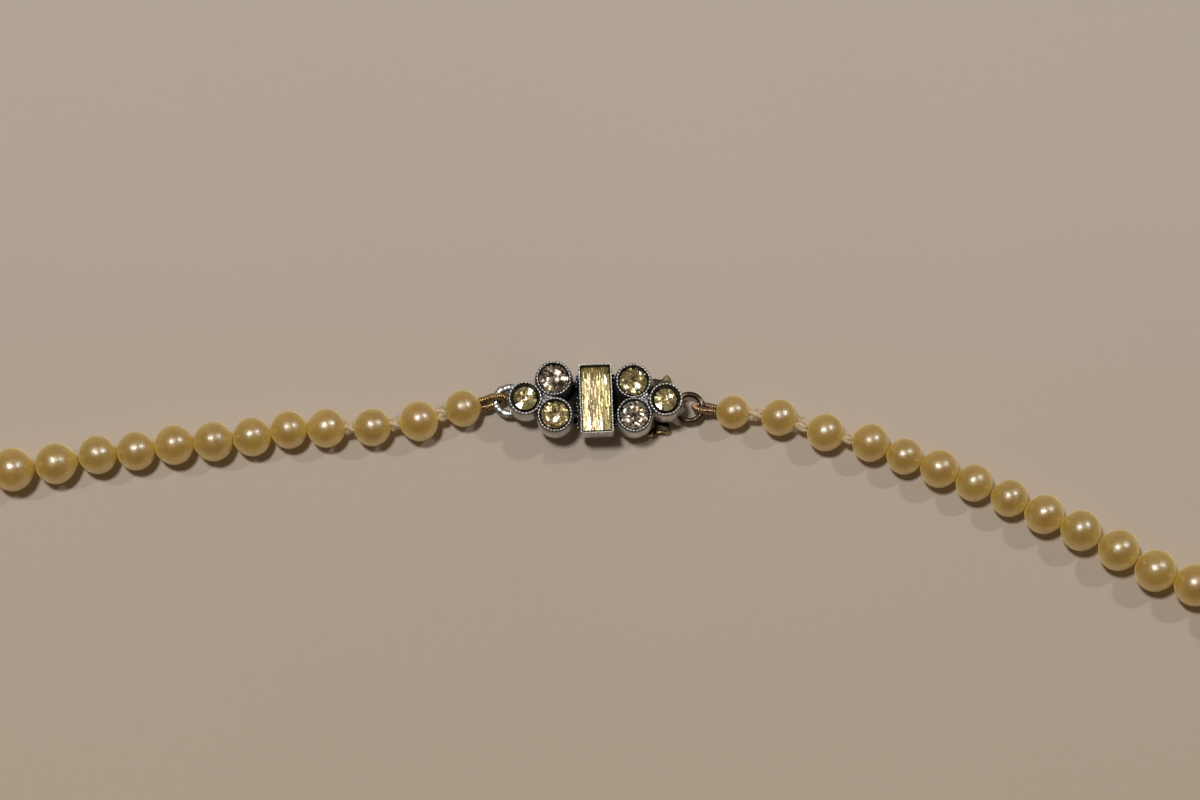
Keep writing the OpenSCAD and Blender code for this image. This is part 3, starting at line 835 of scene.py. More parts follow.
def knot(soup, c, v, size, seed, lift=0.0, tuft=0, loop=0):
    """A tight overhand knot of two-ply silk with loose fibres. size is (along, across)."""
    rng = np.random.default_rng(seed)
    w = unit(v)
    u = unit(np.cross(Z, w))
    h = np.cross(w, u)
    spin = rng.uniform(0, 6.28)
    t = np.linspace(0, 2 * math.pi, 90, endpoint=False)
    x = np.sin(t) + 2 * np.sin(2 * t)
    y = np.cos(t) - 2 * np.cos(2 * t)
    z = -np.sin(3 * t)
    al, ac = size
    px = x / 3 * (ac / 2 - 0.13)
    py = y / 3 * (ac / 2 - 0.13)
    pz = z * (al / 2 - 0.17)
    cu, su = math.cos(spin), math.sin(spin)
    base = c + lift * Z
    path = base + (px * cu - py * su)[:, None] * u + (px * su + py * cu)[:, None] * h + pz[:, None] * w
    path += rng.normal(size=path.shape) * 0.008
    _, a, b = transported(path, True)
    turns = 11
    for ply in range(3):
        ang = t * turns + ply * 2 * math.pi / 3
        line = path + 0.098 * (np.cos(ang)[:, None] * a + np.sin(ang)[:, None] * b)
        sweep(soup, line, 0.100, 6, closed=True, dirt=0.05 + 0.2 * rng.random())
    # the core of the knot
    ball(soup, base, (ac * 0.34, ac * 0.34, al * 0.45), (u, h, w), 14, 10, dirt=0.15)
    for _ in range(60):  # loose fibres
        d0 = unit(rng.normal(size=3) + arr(0, 0, 0.4))
        p0 = base + d0 * arr(1, 1, 1) * ac * 0.36
        out = unit(d0 + rng.normal(size=3) * 0.5)
        side = unit(np.cross(out, rng.normal(size=3)))
        ln = rng.uniform(0.12, 0.36)
        tt = np.linspace(0, 1, 5)[:, None]
        line = p0 + out * ln * tt + side * ln * rng.uniform(-0.5, 0.5) * tt**2
        line[:, 2] = np.maximum(line[:, 2], 0.03)
        sweep(soup, line, np.linspace(0.014, 0.007, 5), 4, dirt=0.0)
    for _ in range(tuft):  # cut ends that stand up from the knot
        d0 = unit(arr(rng.normal() * 0.35, 0.9, 0.7) + rng.normal(size=3) * 0.22)
        side = unit(np.cross(d0, rng.normal(size=3)))
        ln = rng.uniform(0.45, 0.85)
        tt = np.linspace(0, 1, 7)[:, None]
        line = base + d0 * (0.2 + ln * tt) + side * ln * rng.uniform(-0.35, 0.35) * tt**2
        sweep(soup, line, np.linspace(0.035, 0.02, 7), 5, dirt=0.1)
    for k in range(loop):
        t = np.linspace(0, math.pi, 12)[:, None]
        dx, dy = rng.uniform(0.18, 0.3), rng.uniform(0.35, 0.55)
        line = base + arr(0.05 * k, 0.30, 0.25) + dx * np.cos(t) * w + dy * np.sin(t) * unit(arr(0, 0.9, 0.35))
        sweep(soup, line, 0.05, 6, dirt=0.35)


for side, tab, cs, order in (
    ("left", LEFT, left_c, list(range(SIDE))),
    ("right", RIGHT, right_c, [COUNT - 1 - k for k in range(SIDE)]),
):
    s = Soup(dirt=0.1)
    allc = cs + [front_c[i] for i in order]
    first = allc[0] - unit(allc[1] - allc[0]) * (tab[0][0] / 2 - 0.5)
    last = allc[-1] + unit(allc[-1] - allc[-2]) * (front_d[order[-1]] / 2)
    cord(s, [first, *allc, last])
    for i in range(1, KNOTS + 1):
        v = unit(allc[i] - allc[i - 1])
        c = allc[i - 1] + v * (tab[i - 1][0] / 2 + tab[i][1] / 2)
        k = (side, i)
        knot(s, c, v, (tab[i][1] + 0.16, 1.22 if side == "left" else 1.12), 700 + i + (10 if side == "right" else 0),
             lift=0.05, tuft={("left", 1): 6, ("right", 1): 5, ("right", 2): 2}.get(k, 1),
             loop={("left", 1): 2, ("right", 2): 3}.get(k, 0))
    s.build(f"silk_{side}", [SILK], (), "silk")

# ---------------------------------------------------------------- clasp
PAIRS = [(-3.77, 1.70), (-3.63, -1.54), (3.34, 1.56), (3.48, -1.54)]
SOLO = [(-6.29, -0.15), (6.22, -0.25)]
BAR_Y = (1.5, -1.42)
RIM, FLOOR_Z, SEAT = 3.85, 1.75, 3.15
FRAME_W, FRAME_L, FRAME_TOP, TURN = 2.9, 6.25, 4.15, 2.0
LEFT_RING, RIGHT_RING = arr(-7.85, 0.30, 1.2), arr(8.45, -0.3, 1.1)
RING_D, LEFT_WIRE, RIGHT_WIRE, GIMP_D, ROLL = 2.95, 0.55, 0.40, 0.6, 30
TILT = turned(2, TURN)

setting = Soup(dirt=0.0)
rng = np.random.default_rng(5)


def beads(soup, points, size, rng, closed=True, skip=0.0):
    """Milgrain: small worn beads along a line of points."""
    p = np.asarray(points, float)
    n = len(p)
    for i in range(n):
        if rng.random() < skip:
            continue
        t = unit(p[(i + 1) % n] - p[i - 1]) if closed or 0 < i < n - 1 else unit(
            p[min(i + 1, n - 1)] - p[max(i - 1, 0)]
        )
        side = unit(np.cross(Z, t))
        k = 1 + rng.normal() * 0.10
        q = p[i] + rng.normal(size=3) * arr(0.010, 0.010, 0.012)
        ball(soup, q, (size[0] * k, size[1] * (1 + rng.normal() * 0.08), size[2] * (1 + rng.normal() * 0.10)),
             (t, side, Z), 10, 8, dirt=0.0, mat=1)


def cup(c, d, stone, shift, n_beads, seed, line):
    """A round collet: flared wall, milgrain rim, dark wall sloping in to the stone. shift moves its mouth."""
    rng = np.random.default_rng(seed)
    r = d / 2
    s = stone / 2
    # the third value of each point darkens the metal: at the foot, around the milgrain beads and down the inner wall to
    # the stone, partly tarnish and partly painted shade in the recesses
    outline = [
        (r + 0.08, FLOOR_Z, 0.60), (r + 0.11, FLOOR_Z + 0.15, 0.35), (r + 0.12, 2.30, 0.10), (r + 0.115, 3.00, 0.10),
        (r + 0.105, 3.42, 0.14), (r + 0.07, 3.66, 0.30), (r + 0.00, 3.83, 0.60), (line + 0.085, 3.93, 0.92), (line + 0.055, 3.99, 0.95),
        (line, 4.02, 0.55), (line - 0.06, 3.99, 0.85), (line - 0.10, 3.90, 0.92), (s + 0.10, 3.66, 0.86),
        (s + 0.04, 3.46, 0.92), (s + 0.02, 3.30, 0.95), (s - 0.04, 3.10, 1.0), (0.66 * s, 2.50, 1.0),
        (0.40, 2.20, 1.0), (0.30, FLOOR_Z, 1.0),
    ]
    ph = rng.uniform(0, 6.28, 3)

    def wob(a):
        return 1 + 0.0035 * np.sin(2 * a + ph[0]) + 0.003 * np.sin(3 * a + ph[1]) + 0.0015 * np.sin(7 * a + ph[2])

    o = np.array(outline)
    one = Soup(dirt=0.0)
    revolve(one, o[::-1, :2], (0.0, 0.0), 72, wob, {"dirt": o[::-1, 2]})
    v = one.v[0]
    # painted shade: the outer wall on the upper-left side is darkened almost to black
    shaded_side = smooth01((np.cos(np.arctan2(v[:, 1], v[:, 0]) - math.radians(128)) - 0.15) / 0.45)
    outer = (np.hypot(v[:, 0], v[:, 1]) > line + 0.07) & (v[:, 2] > FLOOR_Z + 0.3)
    old = one.values["dirt"][0]
    one.values["dirt"][0] = np.where(outer, old + (0.97 - old) * 0.96 * shaded_side, old)
    v[:, :2] += arr(*c) + arr(*shift) * ((v[:, 2:] - FLOOR_Z) / (4.02 - FLOOR_Z))
    setting.join(one)
    a = (np.arange(n_beads) + rng.uniform()) / n_beads * 2 * math.pi
    rr = line * wob(a)
    pts = np.stack([c[0] + shift[0] + rr * np.cos(a), c[1] + shift[1] + rr * np.sin(a), np.full(n_beads, 4.055)], 1)
    pitch = 2 * math.pi * line / n_beads
    beads(setting, pts, (pitch * 0.45, 0.070, 0.062), rng)


SHIFT_SOLO = [(-0.09, 0.20), (0.05, 0.19)]
SHIFT_PAIRS = [(-0.04, 0.15), (-0.06, 0.09), (0.02, 0.07), (-0.04, 0.09)]
for k, p in enumerate(PAIRS):
    cup(p, 3.2, (2.62, 2.5, 2.5, 2.56)[k], SHIFT_PAIRS[k], 31, 20 + k, 1.475)
for k, p in enumerate(SOLO):
    cup(p, 2.95, 2.1, SHIFT_SOLO[k], 27, 30 + k, 1.405)


# rectangular collet
def plan(w, l, r, z, n=4):
    o = rounded(w, l, r, n)
    return np.c_[o, np.full(len(o), z)] @ TILT.T


# the last value of each ring darkens the metal: at the foot, on the rim around the beads and down the inner wall,
# partly tarnish and partly painted shade in the recesses
rings, dirt_and_shade_levels = [], []
for w, l, r, z, dd in [
    (FRAME_W + 0.10, FRAME_L + 0.10, 0.18, FLOOR_Z, 0.6), (FRAME_W + 0.14, FRAME_L + 0.14, 0.20, FLOOR_Z + 0.2, 0.30),
    (FRAME_W + 0.13, FRAME_L + 0.13, 0.19, 2.6, 0.06), (FRAME_W + 0.11, FRAME_L + 0.11, 0.17, 3.6, 0.03),
    (FRAME_W + 0.09, FRAME_L + 0.09, 0.16, 3.92, 0.06), (FRAME_W + 0.05, FRAME_L + 0.05, 0.15, 4.04, 0.55),
    (FRAME_W - 0.01, FRAME_L + 0.00, 0.13, 4.12, 0.75), (FRAME_W - 0.08, FRAME_L - 0.08, 0.11, 4.16, 0.25),
    (FRAME_W - 0.17, FRAME_L - 0.18, 0.09, 4.15, 0.75), (FRAME_W - 0.22, FRAME_L - 0.24, 0.08, 4.08, 0.92),
    (FRAME_W - 0.27, FRAME_L - 0.30, 0.07, 3.84, 0.95), (FRAME_W - 0.36, FRAME_L - 0.42, 0.06, 3.40, 1.0),
    (FRAME_W - 0.62, FRAME_L - 0.80, 0.05, 2.62, 1.0),
]:
    rings.append(plan(w, l, r, z))
    dirt_and_shade_levels.append(np.full(len(rings[-1]), dd))
dirt_and_shade_levels = np.concatenate(dirt_and_shade_levels)
loft(setting, rings, (True, True), dirt=np.r_[dirt_and_shade_levels, 0.6, 1.0])
o = rounded(FRAME_W - 0.05, FRAME_L - 0.04, 0.14, 5)
o = np.vstack([o, o[:1]])
edge, _ = resample(np.c_[o, np.full(len(o), 4.19)] @ TILT.T, 0.272)
edge = edge[:-1] + np.c_[rng.normal(size=(len(edge) - 1, 2)) * 0.007, np.zeros(len(edge) - 1)]
beads(setting, edge, (0.142, 0.064, 0.060), rng)

# bars, grains and flanges between the trefoils and the rectangular collet
# the bars and flange rods are the dark oxidised metal, darkened further: tarnish and painted shade deep in the openwork
for sx in (-1, 1):
    for y in BAR_Y:
        line = np.array([[sx * 1.30, y, 3.02], [sx * 1.62, y + 0.02, 3.06], [sx * 1.95, y - 0.02, 3.04], [sx * 2.3, y, 2.98]])
        sweep(setting, spline(line, 4), 0.22, 10, dirt=0.5, mat=2)
    x0 = sx * (FRAME_W / 2 + 0.26)
    spans = ((1.35, 2.35), (-0.95, 0.35), (-2.45, -1.45)) if sx < 0 else ((1.55, 2.35), (-2.25, -1.35))
    for k, (y0, y1) in enumerate(spans):
        for y in np.arange(y0, y1, 0.40):
            q = TILT @ arr(x0 + sx * rng.uniform(-0.06, 0.05), y + rng.normal() * 0.05, 3.12 + rng.uniform(-0.12, 0.10))
            size = (rng.uniform(0.09, 0.20), rng.uniform(0.075, 0.15), 0.11) if k != 1 or sx > 0 else (0.075, rng.uniform(0.09, 0.16), 0.09)
            ball(setting, q, size, (TILT @ X, TILT @ Y, Z), 10, 8, dirt=rng.choice([0.1, 0.3, 0.6]))
        line = np.stack([np.full(5, x0 - sx * 0.08), np.linspace(y0 - 0.15, y1, 5), np.full(5, 2.92)], 1) @ TILT.T
        sweep(setting, line, 0.13, 8, dirt=0.5, mat=2)


# the lumpy grain metal in the middle of each trefoil
def lump(c, size, seed, z0, z1):
    rng = np.random.default_rng(seed)
    n, m = 20, 9
    ph = rng.uniform(0, 6.28, 6)
    rings, dd = [], []
    for i in range(m):
        f = i / (m - 1)
        z = z0 + (z1 - z0) * math.sin(f * math.pi / 2)
        k = math.cos(f * math.pi / 2) ** 0.6 if i < m - 1 else 0.12
        a = np.arange(n) / n * 2 * math.pi
        r = k * (1 + 0.20 * np.sin(3 * a + ph[0]) + 0.12 * np.sin(5 * a + ph[1] + 3 * f) + 0.08 * np.sin(9 * a + ph[2] - 5 * f))
        rings.append(np.stack([c[0] + size[0] * r * np.cos(a), c[1] + size[1] * r * np.sin(a), np.full(n, z) + 0.03 * np.sin(4 * a + ph[3])], 1))
        # darker towards the bottom, deep in the trefoil: painted shade with tarnish
        dd.append(np.full(n, 0.75 - 0.35 * f))
    dd = np.concatenate(dd)
    loft(setting, rings, (True, True), dirt=np.r_[dd, 0.8, 0.3])


for sx, c in ((-1, (-4.60, 0.02)), (1, (4.42, -0.05))):
    lump(c, (0.62, 0.74), 50 + sx, FLOOR_Z, 3.62)
    g = np.random.default_rng(60 + sx)
    spots = [(0.30, 0.02), (-0.12, 0.34), (-0.14, -0.34), (-0.34, 0.02), (0.12, -0.20), (0.10, 0.22), (0.55, 0.0)]
    for dx, dy in spots:
        q = arr(c[0] - sx * dx, c[1] + dy + 0.12, 3.70 + g.uniform(-0.05, 0.08))
        rr = g.uniform(0.11, 0.17)
        ball(setting, q, (rr, rr * g.uniform(0.8, 1.1), rr * 0.9), n=10, m=8, dirt=g.uniform(0, 0.12), mat=1)
    # bright seams where the collets meet
    for (x0, y0), (x1, y1) in (
        ((c[0] - sx * 0.45, c[1]), (c[0] - sx * 0.05, c[1] + 0.62)),
        ((c[0] - sx * 0.45, c[1]), (c[0] - sx * 0.05, c[1] - 0.62)),
        ((c[0] + sx * -0.1, c[1] + 0.05), (c[0] - sx * 1.0, c[1] + 0.04)),
    ):
        line = np.array([[x0, y0 + 0.12, 3.64], [(x0 + x1) / 2, (y0 + y1) / 2 + 0.12, 3.72], [x1, y1 + 0.12, 3.64]])
        sweep(setting, spline(line, 5), 0.075, 7, dirt=0.1)

# box: bevelled plates and walls, open at the right end for the tongue
L, W, H, T = 10.4, 3.8, 1.9, 0.35


def slab(z0, z1, l, w, r, bevel, top_dirt_and_shade, low_dirt_and_shade, mat=0):
    rr = []
    dd = []
    for off, z, d in (
        (bevel, z0, low_dirt_and_shade), (bevel * 0.3, z0 + bevel * 0.3, low_dirt_and_shade), (0, z0 + bevel, low_dirt_and_shade * 0.6),
        (0, z1 - bevel, top_dirt_and_shade * 0.6), (bevel * 0.3, z1 - bevel * 0.3, top_dirt_and_shade), (bevel, z1, top_dirt_and_shade),
    ):
        o = rounded(l - 2 * off, w - 2 * off, max(r - off, 0.02), 8)
        rr.append(np.c_[o, np.full(len(o), z)])
        dd.append(np.full(len(o), d))
    dd = np.concatenate(dd)
    loft(setting, rr, (True, True), dirt=np.r_[dd, low_dirt_and_shade, top_dirt_and_shade], mat=mat)


# painted shade: the bottom plate is fully darkened on top, inside the box; the top plate, seen through the openwork, is
# dark oxidised metal darkened all over
slab(0.0, T, L, W, 0.6, 0.10, 1.0, 0.05)
slab(H - T, H, L, W, 0.6, 0.10, 0.9, 0.9, 2)


def wall(points, z0, z1, t, dirt=0.15):
    """An upright strip of thickness t, its outside along points."""
    p = np.asarray(points, float)
    d = np.gradient(p, axis=0)
    d /= np.linalg.norm(d, axis=1)[:, None]
    inner = p + t * np.c_[-d[:, 1], d[:, 0]]
    rr = []
    for q, i in zip(p, inner):
        rr.append([[*q, z0], [*q, z1], [*i, z1], [*i, z0]])
    loft(setting, rr, (True, True), dirt=dirt)


o = rounded(L, W, 0.6, 8)
keep = np.array([i for i in range(len(o)) if not (o[i, 0] > L / 2 - 0.55)])
o = o[keep]
start = np.argmax(np.linalg.norm(np.roll(o, 1, 0) - o, axis=1))
o = np.roll(o, -start, 0)
side_wall, _ = resample(np.c_[np.vstack([[L / 2 - 0.25, o[0][1]], o, [L / 2 - 0.25, o[-1][1]]]), np.zeros(len(o) + 2)], 0.25)
wall(side_wall[:, :2], 0.08, H - 0.08, T)
for sy in (-1, 1):  # posts beside the mouth
    q = rounded(0.5, 0.36, 0.1, 4) + arr(L / 2 - 0.28, sy * (W / 2 - 0.30))
    loft(setting, [np.c_[q, np.full(len(q), z)] for z in (0.1, H - 0.1)], dirt=0.3)

# left ring, hammered a little, with its tab and a collar of solder
a = np.arange(72) / 72 * 2 * math.pi
ring = LEFT_RING + 1.2 * np.stack([np.cos(a), np.sin(a), np.zeros(72)], 1)
ham = 1 + 0.05 * np.sin(9 * a + 1) + 0.04 * np.sin(14 * a + 2)
k = np.arange(20) / 20 * 2 * math.pi
broad = np.stack([0.26 * np.sign(np.sin(k)) * np.abs(np.sin(k)) ** 0.75, 0.355 * np.sign(np.cos(k)) * np.abs(np.cos(k)) ** 0.8], 1)
dents = np.random.default_rng(8)
sweep(setting, ring, ham, profile=broad, closed=True, dirt=np.clip(0.44 + dents.normal(size=72) * 0.32, 0, 0.85))
hit = setting.v[-1]
for _ in range(46):
    q = hit[dents.integers(len(hit))]
    push = dents.uniform(0.02, 0.05) * np.exp(-(((hit - q) ** 2).sum(1) / dents.uniform(0.03, 0.09)))
    hit -= push[:, None] * unit(q - LEFT_RING - 1.2 * unit(arr(*(q - LEFT_RING)[:2], 0)))
tab = rounded(1.95, 0.95, 0.22, 5) + arr(-6.0, 0.15)
loft(setting, [np.c_[(tab - tab.mean(0)) * k + tab.mean(0), np.full(len(tab), z)] for k, z in ((0.9, 0.92), (1, 1.0), (1, 1.38), (0.9, 1.46))], dirt=0.35)
for q, rr in (((-6.72, 0.15, 1.22), (0.36, 0.52, 0.34)), ((-6.60, -0.25, 1.15), (0.30, 0.26, 0.26)), ((-6.55, 0.50, 1.25), (0.28, 0.24, 0.24))):
    ball(setting, q, rr, n=16, m=10, dirt=0.25)

setting.build("setting_silver", [SILVER, MILGRAIN, OXIDE_AND_SHADE], ["clasp_setting"], "rhodium", sharp=48)


# ---------------------------------------------------------------- stones
GLINT = arr(0.107, 0.010)  # the slope of a facet that faces midway between the lamp and the table's front


WARM = arr(1.04, 0.95, 0.80)


def tile(soup, poly, z, slope, tint, depth=0.16):
    """One small foiled facet: a prism with a sloping top."""
    q = np.asarray(poly, float)
    mid = q.mean(0)
    top = np.c_[q, z + (q - mid) @ slope]
    low = np.c_[mid + (q - mid) * 0.97, np.full(len(q), z - depth)]
    n = len(q)
    faces = [np.array([list(range(n))]), np.array([list(range(2 * n - 1, n - 1, -1))]),
             np.array([[i, i + n, (i + 1) % n + n, (i + 1) % n] for i in range(n)])]
    soup.add(np.vstack([top, low]), faces, smooth=False, tint=(*np.clip(np.asarray(tint) * WARM, 0, 1), 1.0))


def brilliant(name, node, c, shift, d, turn, material, slot, palette, marks, radii, sectors, seed):
    """A round faceted paste and the foiled facets that show through its crown. The facets' tints paint the stone's
    reflections as a mosaic of white, dark and coloured patches; some facets also lean to catch the lamp.
    """
    rng = np.random.default_rng(seed)
    g = d / 2
    c = (c[0] + shift[0], c[1] + shift[1] + 0.03)
    zg, zt, zc = SEAT + 0.36, SEAT + 0.72, SEAT + 0.02 - 0.88
    rt, rm = 0.56 * g, 0.80 * g
    o = math.radians(turn)

    def at(r, deg, z):
        t = o + math.radians(deg)
        return [c[0] + r * math.cos(t), c[1] + r * math.sin(t), z]

    slope = (zt - zg) / (g - rt)
    zm = zt - (rm * math.cos(math.radians(22.5)) - rt) * slope
    Tb = [at(rt, 45 * k, zt) for k in range(8)]
    M = [at(rm, 45 * k + 22.5, zm) for k in range(8)]
    G = [at(g, 22.5 * k, zg) for k in range(16)]
    B = [at(g, 22.5 * k, zg - 0.08) for k in range(16)]
    rl = 0.30 * g
    zl = zc + rl * math.cos(math.radians(22.5)) * (zg - 0.08 - zc) / g
    Lw = [at(rl, 45 * k + 22.5, zl) for k in range(8)]
    C = [at(0, 0, zc)]
    v = np.array(Tb + M + G + B + Lw + C)
    iT, iM, iG, iB, iL, iC = 0, 8, 16, 32, 48, 56
    tri, quad = [], []
    oct_ = [iT + k for k in range(8)]
    for k in range(8):
        n = (k + 1) % 8
        p = (k - 1) % 8
        tri.append((iT + k, iM + k, iT + n))
        quad.append((iT + k, iM + p, iG + 2 * k, iM + k))
        tri.append((iM + k, iG + 2 * k, iG + 2 * k + 1))
        tri.append((iM + k, iG + 2 * k + 1, iG + (2 * k + 2) % 16))
        quad.append((iC, iL + k, iB + 2 * k, iL + p))
        tri.append((iL + k, iB + 2 * k + 1, iB + 2 * k))
        tri.append((iL + k, iB + (2 * k + 2) % 16, iB + 2 * k + 1))
    for k in range(16):
        n = (k + 1) % 16
        quad.append((iG + k, iB + k, iB + n, iG + n))
    s = Soup(dirt=0.0)
    s.add(v, [np.array(tri), np.array(quad), np.array([oct_])], smooth=False)
    s.build(name, [material], [node], slot)
    f = Soup(tint=(0.8, 0.75, 0.5, 1.0))
    cols, odds = [arr(*p[:3]) for p in palette], arr(*[p[3] for p in palette])
    odds = odds / odds.sum()
    edge = 0.985 * g
    for i, n in enumerate(sectors):
        r0, r1 = radii[i] * edge, radii[i + 1] * edge
        a0 = rng.uniform(0, 6.28)
        cut = a0 + (np.arange(n) + rng.uniform(-0.16, 0.16, n)) / n * 2 * math.pi
        for j in range(n):
            a, b = cut[j], cut[(j + 1) % n] + (2 * math.pi if j == n - 1 else 0)
            m = (a + b) / 2
            ring = [(r0, a), (r1, a), (r1 / math.cos((b - a) / 2) if i < len(sectors) - 1 else r1, m), (r1, b), (r0, b)]
            if i == 0:
                polys = [[(0, 0), (r1, a), (r1, b)]]
            elif rng.random() < 0.5:
                polys = [[ring[0], ring[1], ring[2]], [ring[0], ring[2], ring[3], ring[4]]]
            else:
                polys = [[ring[0], ring[1], ring[2], ring[4]], [ring[2], ring[3], ring[4]]]
            for poly in polys:
                q = np.array([[rr * math.cos(t), rr * math.sin(t)] for rr, t in poly])
                mid = q.mean(0)
                col = cols[rng.choice(len(cols), p=odds)] * rng.uniform(0.60, 1.0)
                # painted shade: the foil's outer ring is darkened, most on the upper-left side
                shade = 0.35 + 0.65 * max(0.0, math.cos(math.atan2(mid[1], mid[0]) - math.radians(150)))
                col = col * (1 - 0.62 * shade * float(smooth01((np.linalg.norm(mid) / edge - 0.72) / 0.2)))
                lean = rng.normal(size=2) * 0.26 - GLINT
                for deg, far, size, tint, glint in marks:
                    spot = far * edge * arr(math.cos(math.radians(deg)), math.sin(math.radians(deg)))
                    if np.linalg.norm(mid - spot) < size:
                        col = arr(*tint) * rng.uniform(0.85, 1.1)
                        lean = GLINT + rng.normal(size=2) * 0.06 if glint else arr(-0.15, 0.35) + rng.normal(size=2) * 0.10
                z = zg - 0.02 + 0.10 * (np.linalg.norm(mid) / edge) ** 2
                tile(f, q + arr(*c), z, lean, col)
    f.build(name + "_foil", [FOIL])


WHITE, DARK, AMBER, SKIN = (1.0, 0.99, 0.94), (0.06, 0.05, 0.02), (0.90, 0.52, 0.22), (0.90, 0.70, 0.54)
PALE = (0.98, 0.92, 0.58)
YELLOW = [(0.97, 0.83, 0.46, 0.22), (0.80, 0.66, 0.33, 0.26), (0.50, 0.38, 0.17, 0.20), (0.13, 0.10, 0.045, 0.18), (1.0, 0.95, 0.80, 0.08), (0.85, 0.52, 0.28, 0.06)]
OLIVE = [(0.92, 0.80, 0.42, 0.22), (0.74, 0.62, 0.30, 0.42), (0.48, 0.38, 0.17, 0.22), (0.20, 0.155, 0.07, 0.09), (1.0, 0.95, 0.80, 0.05)]
GREY = [(0.98, 0.94, 0.90, 0.20), (0.62, 0.52, 0.43, 0.20), (0.32, 0.24, 0.18, 0.22), (0.07, 0.055, 0.045, 0.20), (0.95, 0.66, 0.45, 0.09), (0.82, 0.76, 0.72, 0.09)]
FEW = ([0, 0.20, 0.42, 0.70, 1.0], [6, 10, 14, 20])
MANY = ([0, 0.10, 0.22, 0.36, 0.52, 0.69, 0.85, 1.0], [5, 8, 12, 17, 21, 25, 28])
brilliant("round_paste_1", "round_stone_1", SOLO[0], SHIFT_SOLO[0], 2.1, 11, YELLOW_PASTE, "yellow_paste", OLIVE, [
    (56, 0.70, 0.30, WHITE, True), (230, 0.72, 0.24, WHITE, True), (-60, 0.12, 0.13, WHITE, True), (-20, 0.62, 0.28, PALE, False),
    (140, 0.15, 0.16, (0.35, 0.22, 0.12), False), (170, 0.75, 0.25, (0.40, 0.34, 0.13), False), (100, 0.78, 0.2, PALE, False)], *FEW, 71)
brilliant("round_paste_2", "round_stone_2", PAIRS[0], SHIFT_PAIRS[0], 2.62, 4, CLEAR_PASTE, "clear_paste", GREY, [
    (63, 0.50, 0.26, WHITE, True), (185, 0.42, 0.17, WHITE, True), (0, 0.22, 0.15, WHITE, True), (217, 0.70, 0.20, WHITE, True),
    (245, 0.66, 0.20, SKIN, True), (2, 0.55, 0.16, SKIN, True), (0, 0.86, 0.16, WHITE, True), (118, 0.35, 0.22, DARK, False),
    (-35, 0.62, 0.28, DARK, False), (-80, 0.35, 0.18, DARK, False)], *MANY, 72)
brilliant("round_paste_3", "round_stone_3", PAIRS[1], SHIFT_PAIRS[1], 2.5, 19, YELLOW_PASTE, "yellow_paste", YELLOW, [
    (-88, 0.34, 0.24, WHITE, True), (-40, 0.30, 0.14, WHITE, True), (212, 0.58, 0.17, WHITE, True), (127, 0.62, 0.22, PALE, True),
    (30, 0.78, 0.15, PALE, True), (90, 0.28, 0.20, DARK, False), (-100, 0.82, 0.22, (0.30, 0.20, 0.10), False)], *MANY, 73)
brilliant("round_paste_4", "round_stone_4", PAIRS[2], SHIFT_PAIRS[2], 2.5, 33, YELLOW_PASTE, "yellow_paste", YELLOW, [
    (-42, 0.46, 0.26, WHITE, True), (222, 0.72, 0.20, WHITE, True), (-90, 0.74, 0.20, PALE, True), (135, 0.60, 0.18, AMBER, False),
    (80, 0.16, 0.22, DARK, False), (52, 0.78, 0.12, WHITE, True), (175, 0.50, 0.18, (0.30, 0.25, 0.10), False)], *MANY, 74)
brilliant("round_paste_5", "round_stone_5", PAIRS[3], SHIFT_PAIRS[3], 2.56, 8, CLEAR_PASTE, "clear_paste", GREY, [
    (0, 0.0, 0.20, DARK, False), (221, 0.62, 0.17, WHITE, True), (-80, 0.60, 0.15, WHITE, True), (5, 0.56, 0.16, WHITE, True),
    (-40, 0.56, 0.13, WHITE, True), (105, 0.60, 0.16, WHITE, True), (66, 0.52, 0.12, SKIN, True), (157, 0.72, 0.15, WHITE, True),
    (-15, 0.85, 0.13, SKIN, True)], *MANY, 75)
brilliant("round_paste_6", "round_stone_6", SOLO[1], SHIFT_SOLO[1], 2.05, 27, YELLOW_PASTE, "yellow_paste", OLIVE, [
    (221, 0.74, 0.27, WHITE, True), (38, 0.62, 0.20, WHITE, True), (112, 0.70, 0.20, AMBER, False), (-85, 0.72, 0.25, PALE, False),
    (165, 0.70, 0.16, PALE, True), (20, 0.2, 0.12, WHITE, True), (-30, 0.8, 0.2, (0.30, 0.25, 0.10), False)], *FEW, 76)


# step-cut baguette over long foiled strips
def step(w, l, z):
    p = [(w / 2, l / 2), (-w / 2, l / 2), (-w / 2, -l / 2), (w / 2, -l / 2)]
    return np.array([[x, y + 0.06, z] for x, y in p]) @ TILT.T


s = Soup(dirt=0.0)
bw, bl = FRAME_W - 0.37, FRAME_L - 0.46
rings = [
    step(0.9, bl - 1.9, 2.74), step(1.45, bl - 1.0, 3.00), step(1.9, bl - 0.35, 3.30), step(bw, bl, 3.52),
    step(bw, bl, 3.66), step(bw - 0.22, bl - 0.50, 3.90), step(bw - 0.52, bl - 0.95, 4.02),
]
loft(s, rings, (True, True), smooth=False)
s.build("baguette_paste", [YELLOW_PASTE], ["baguette_stone"], "yellow_paste")

f = Soup(tint=(0.9, 0.82, 0.5, 1.0))
rng = np.random.default_rng(91)


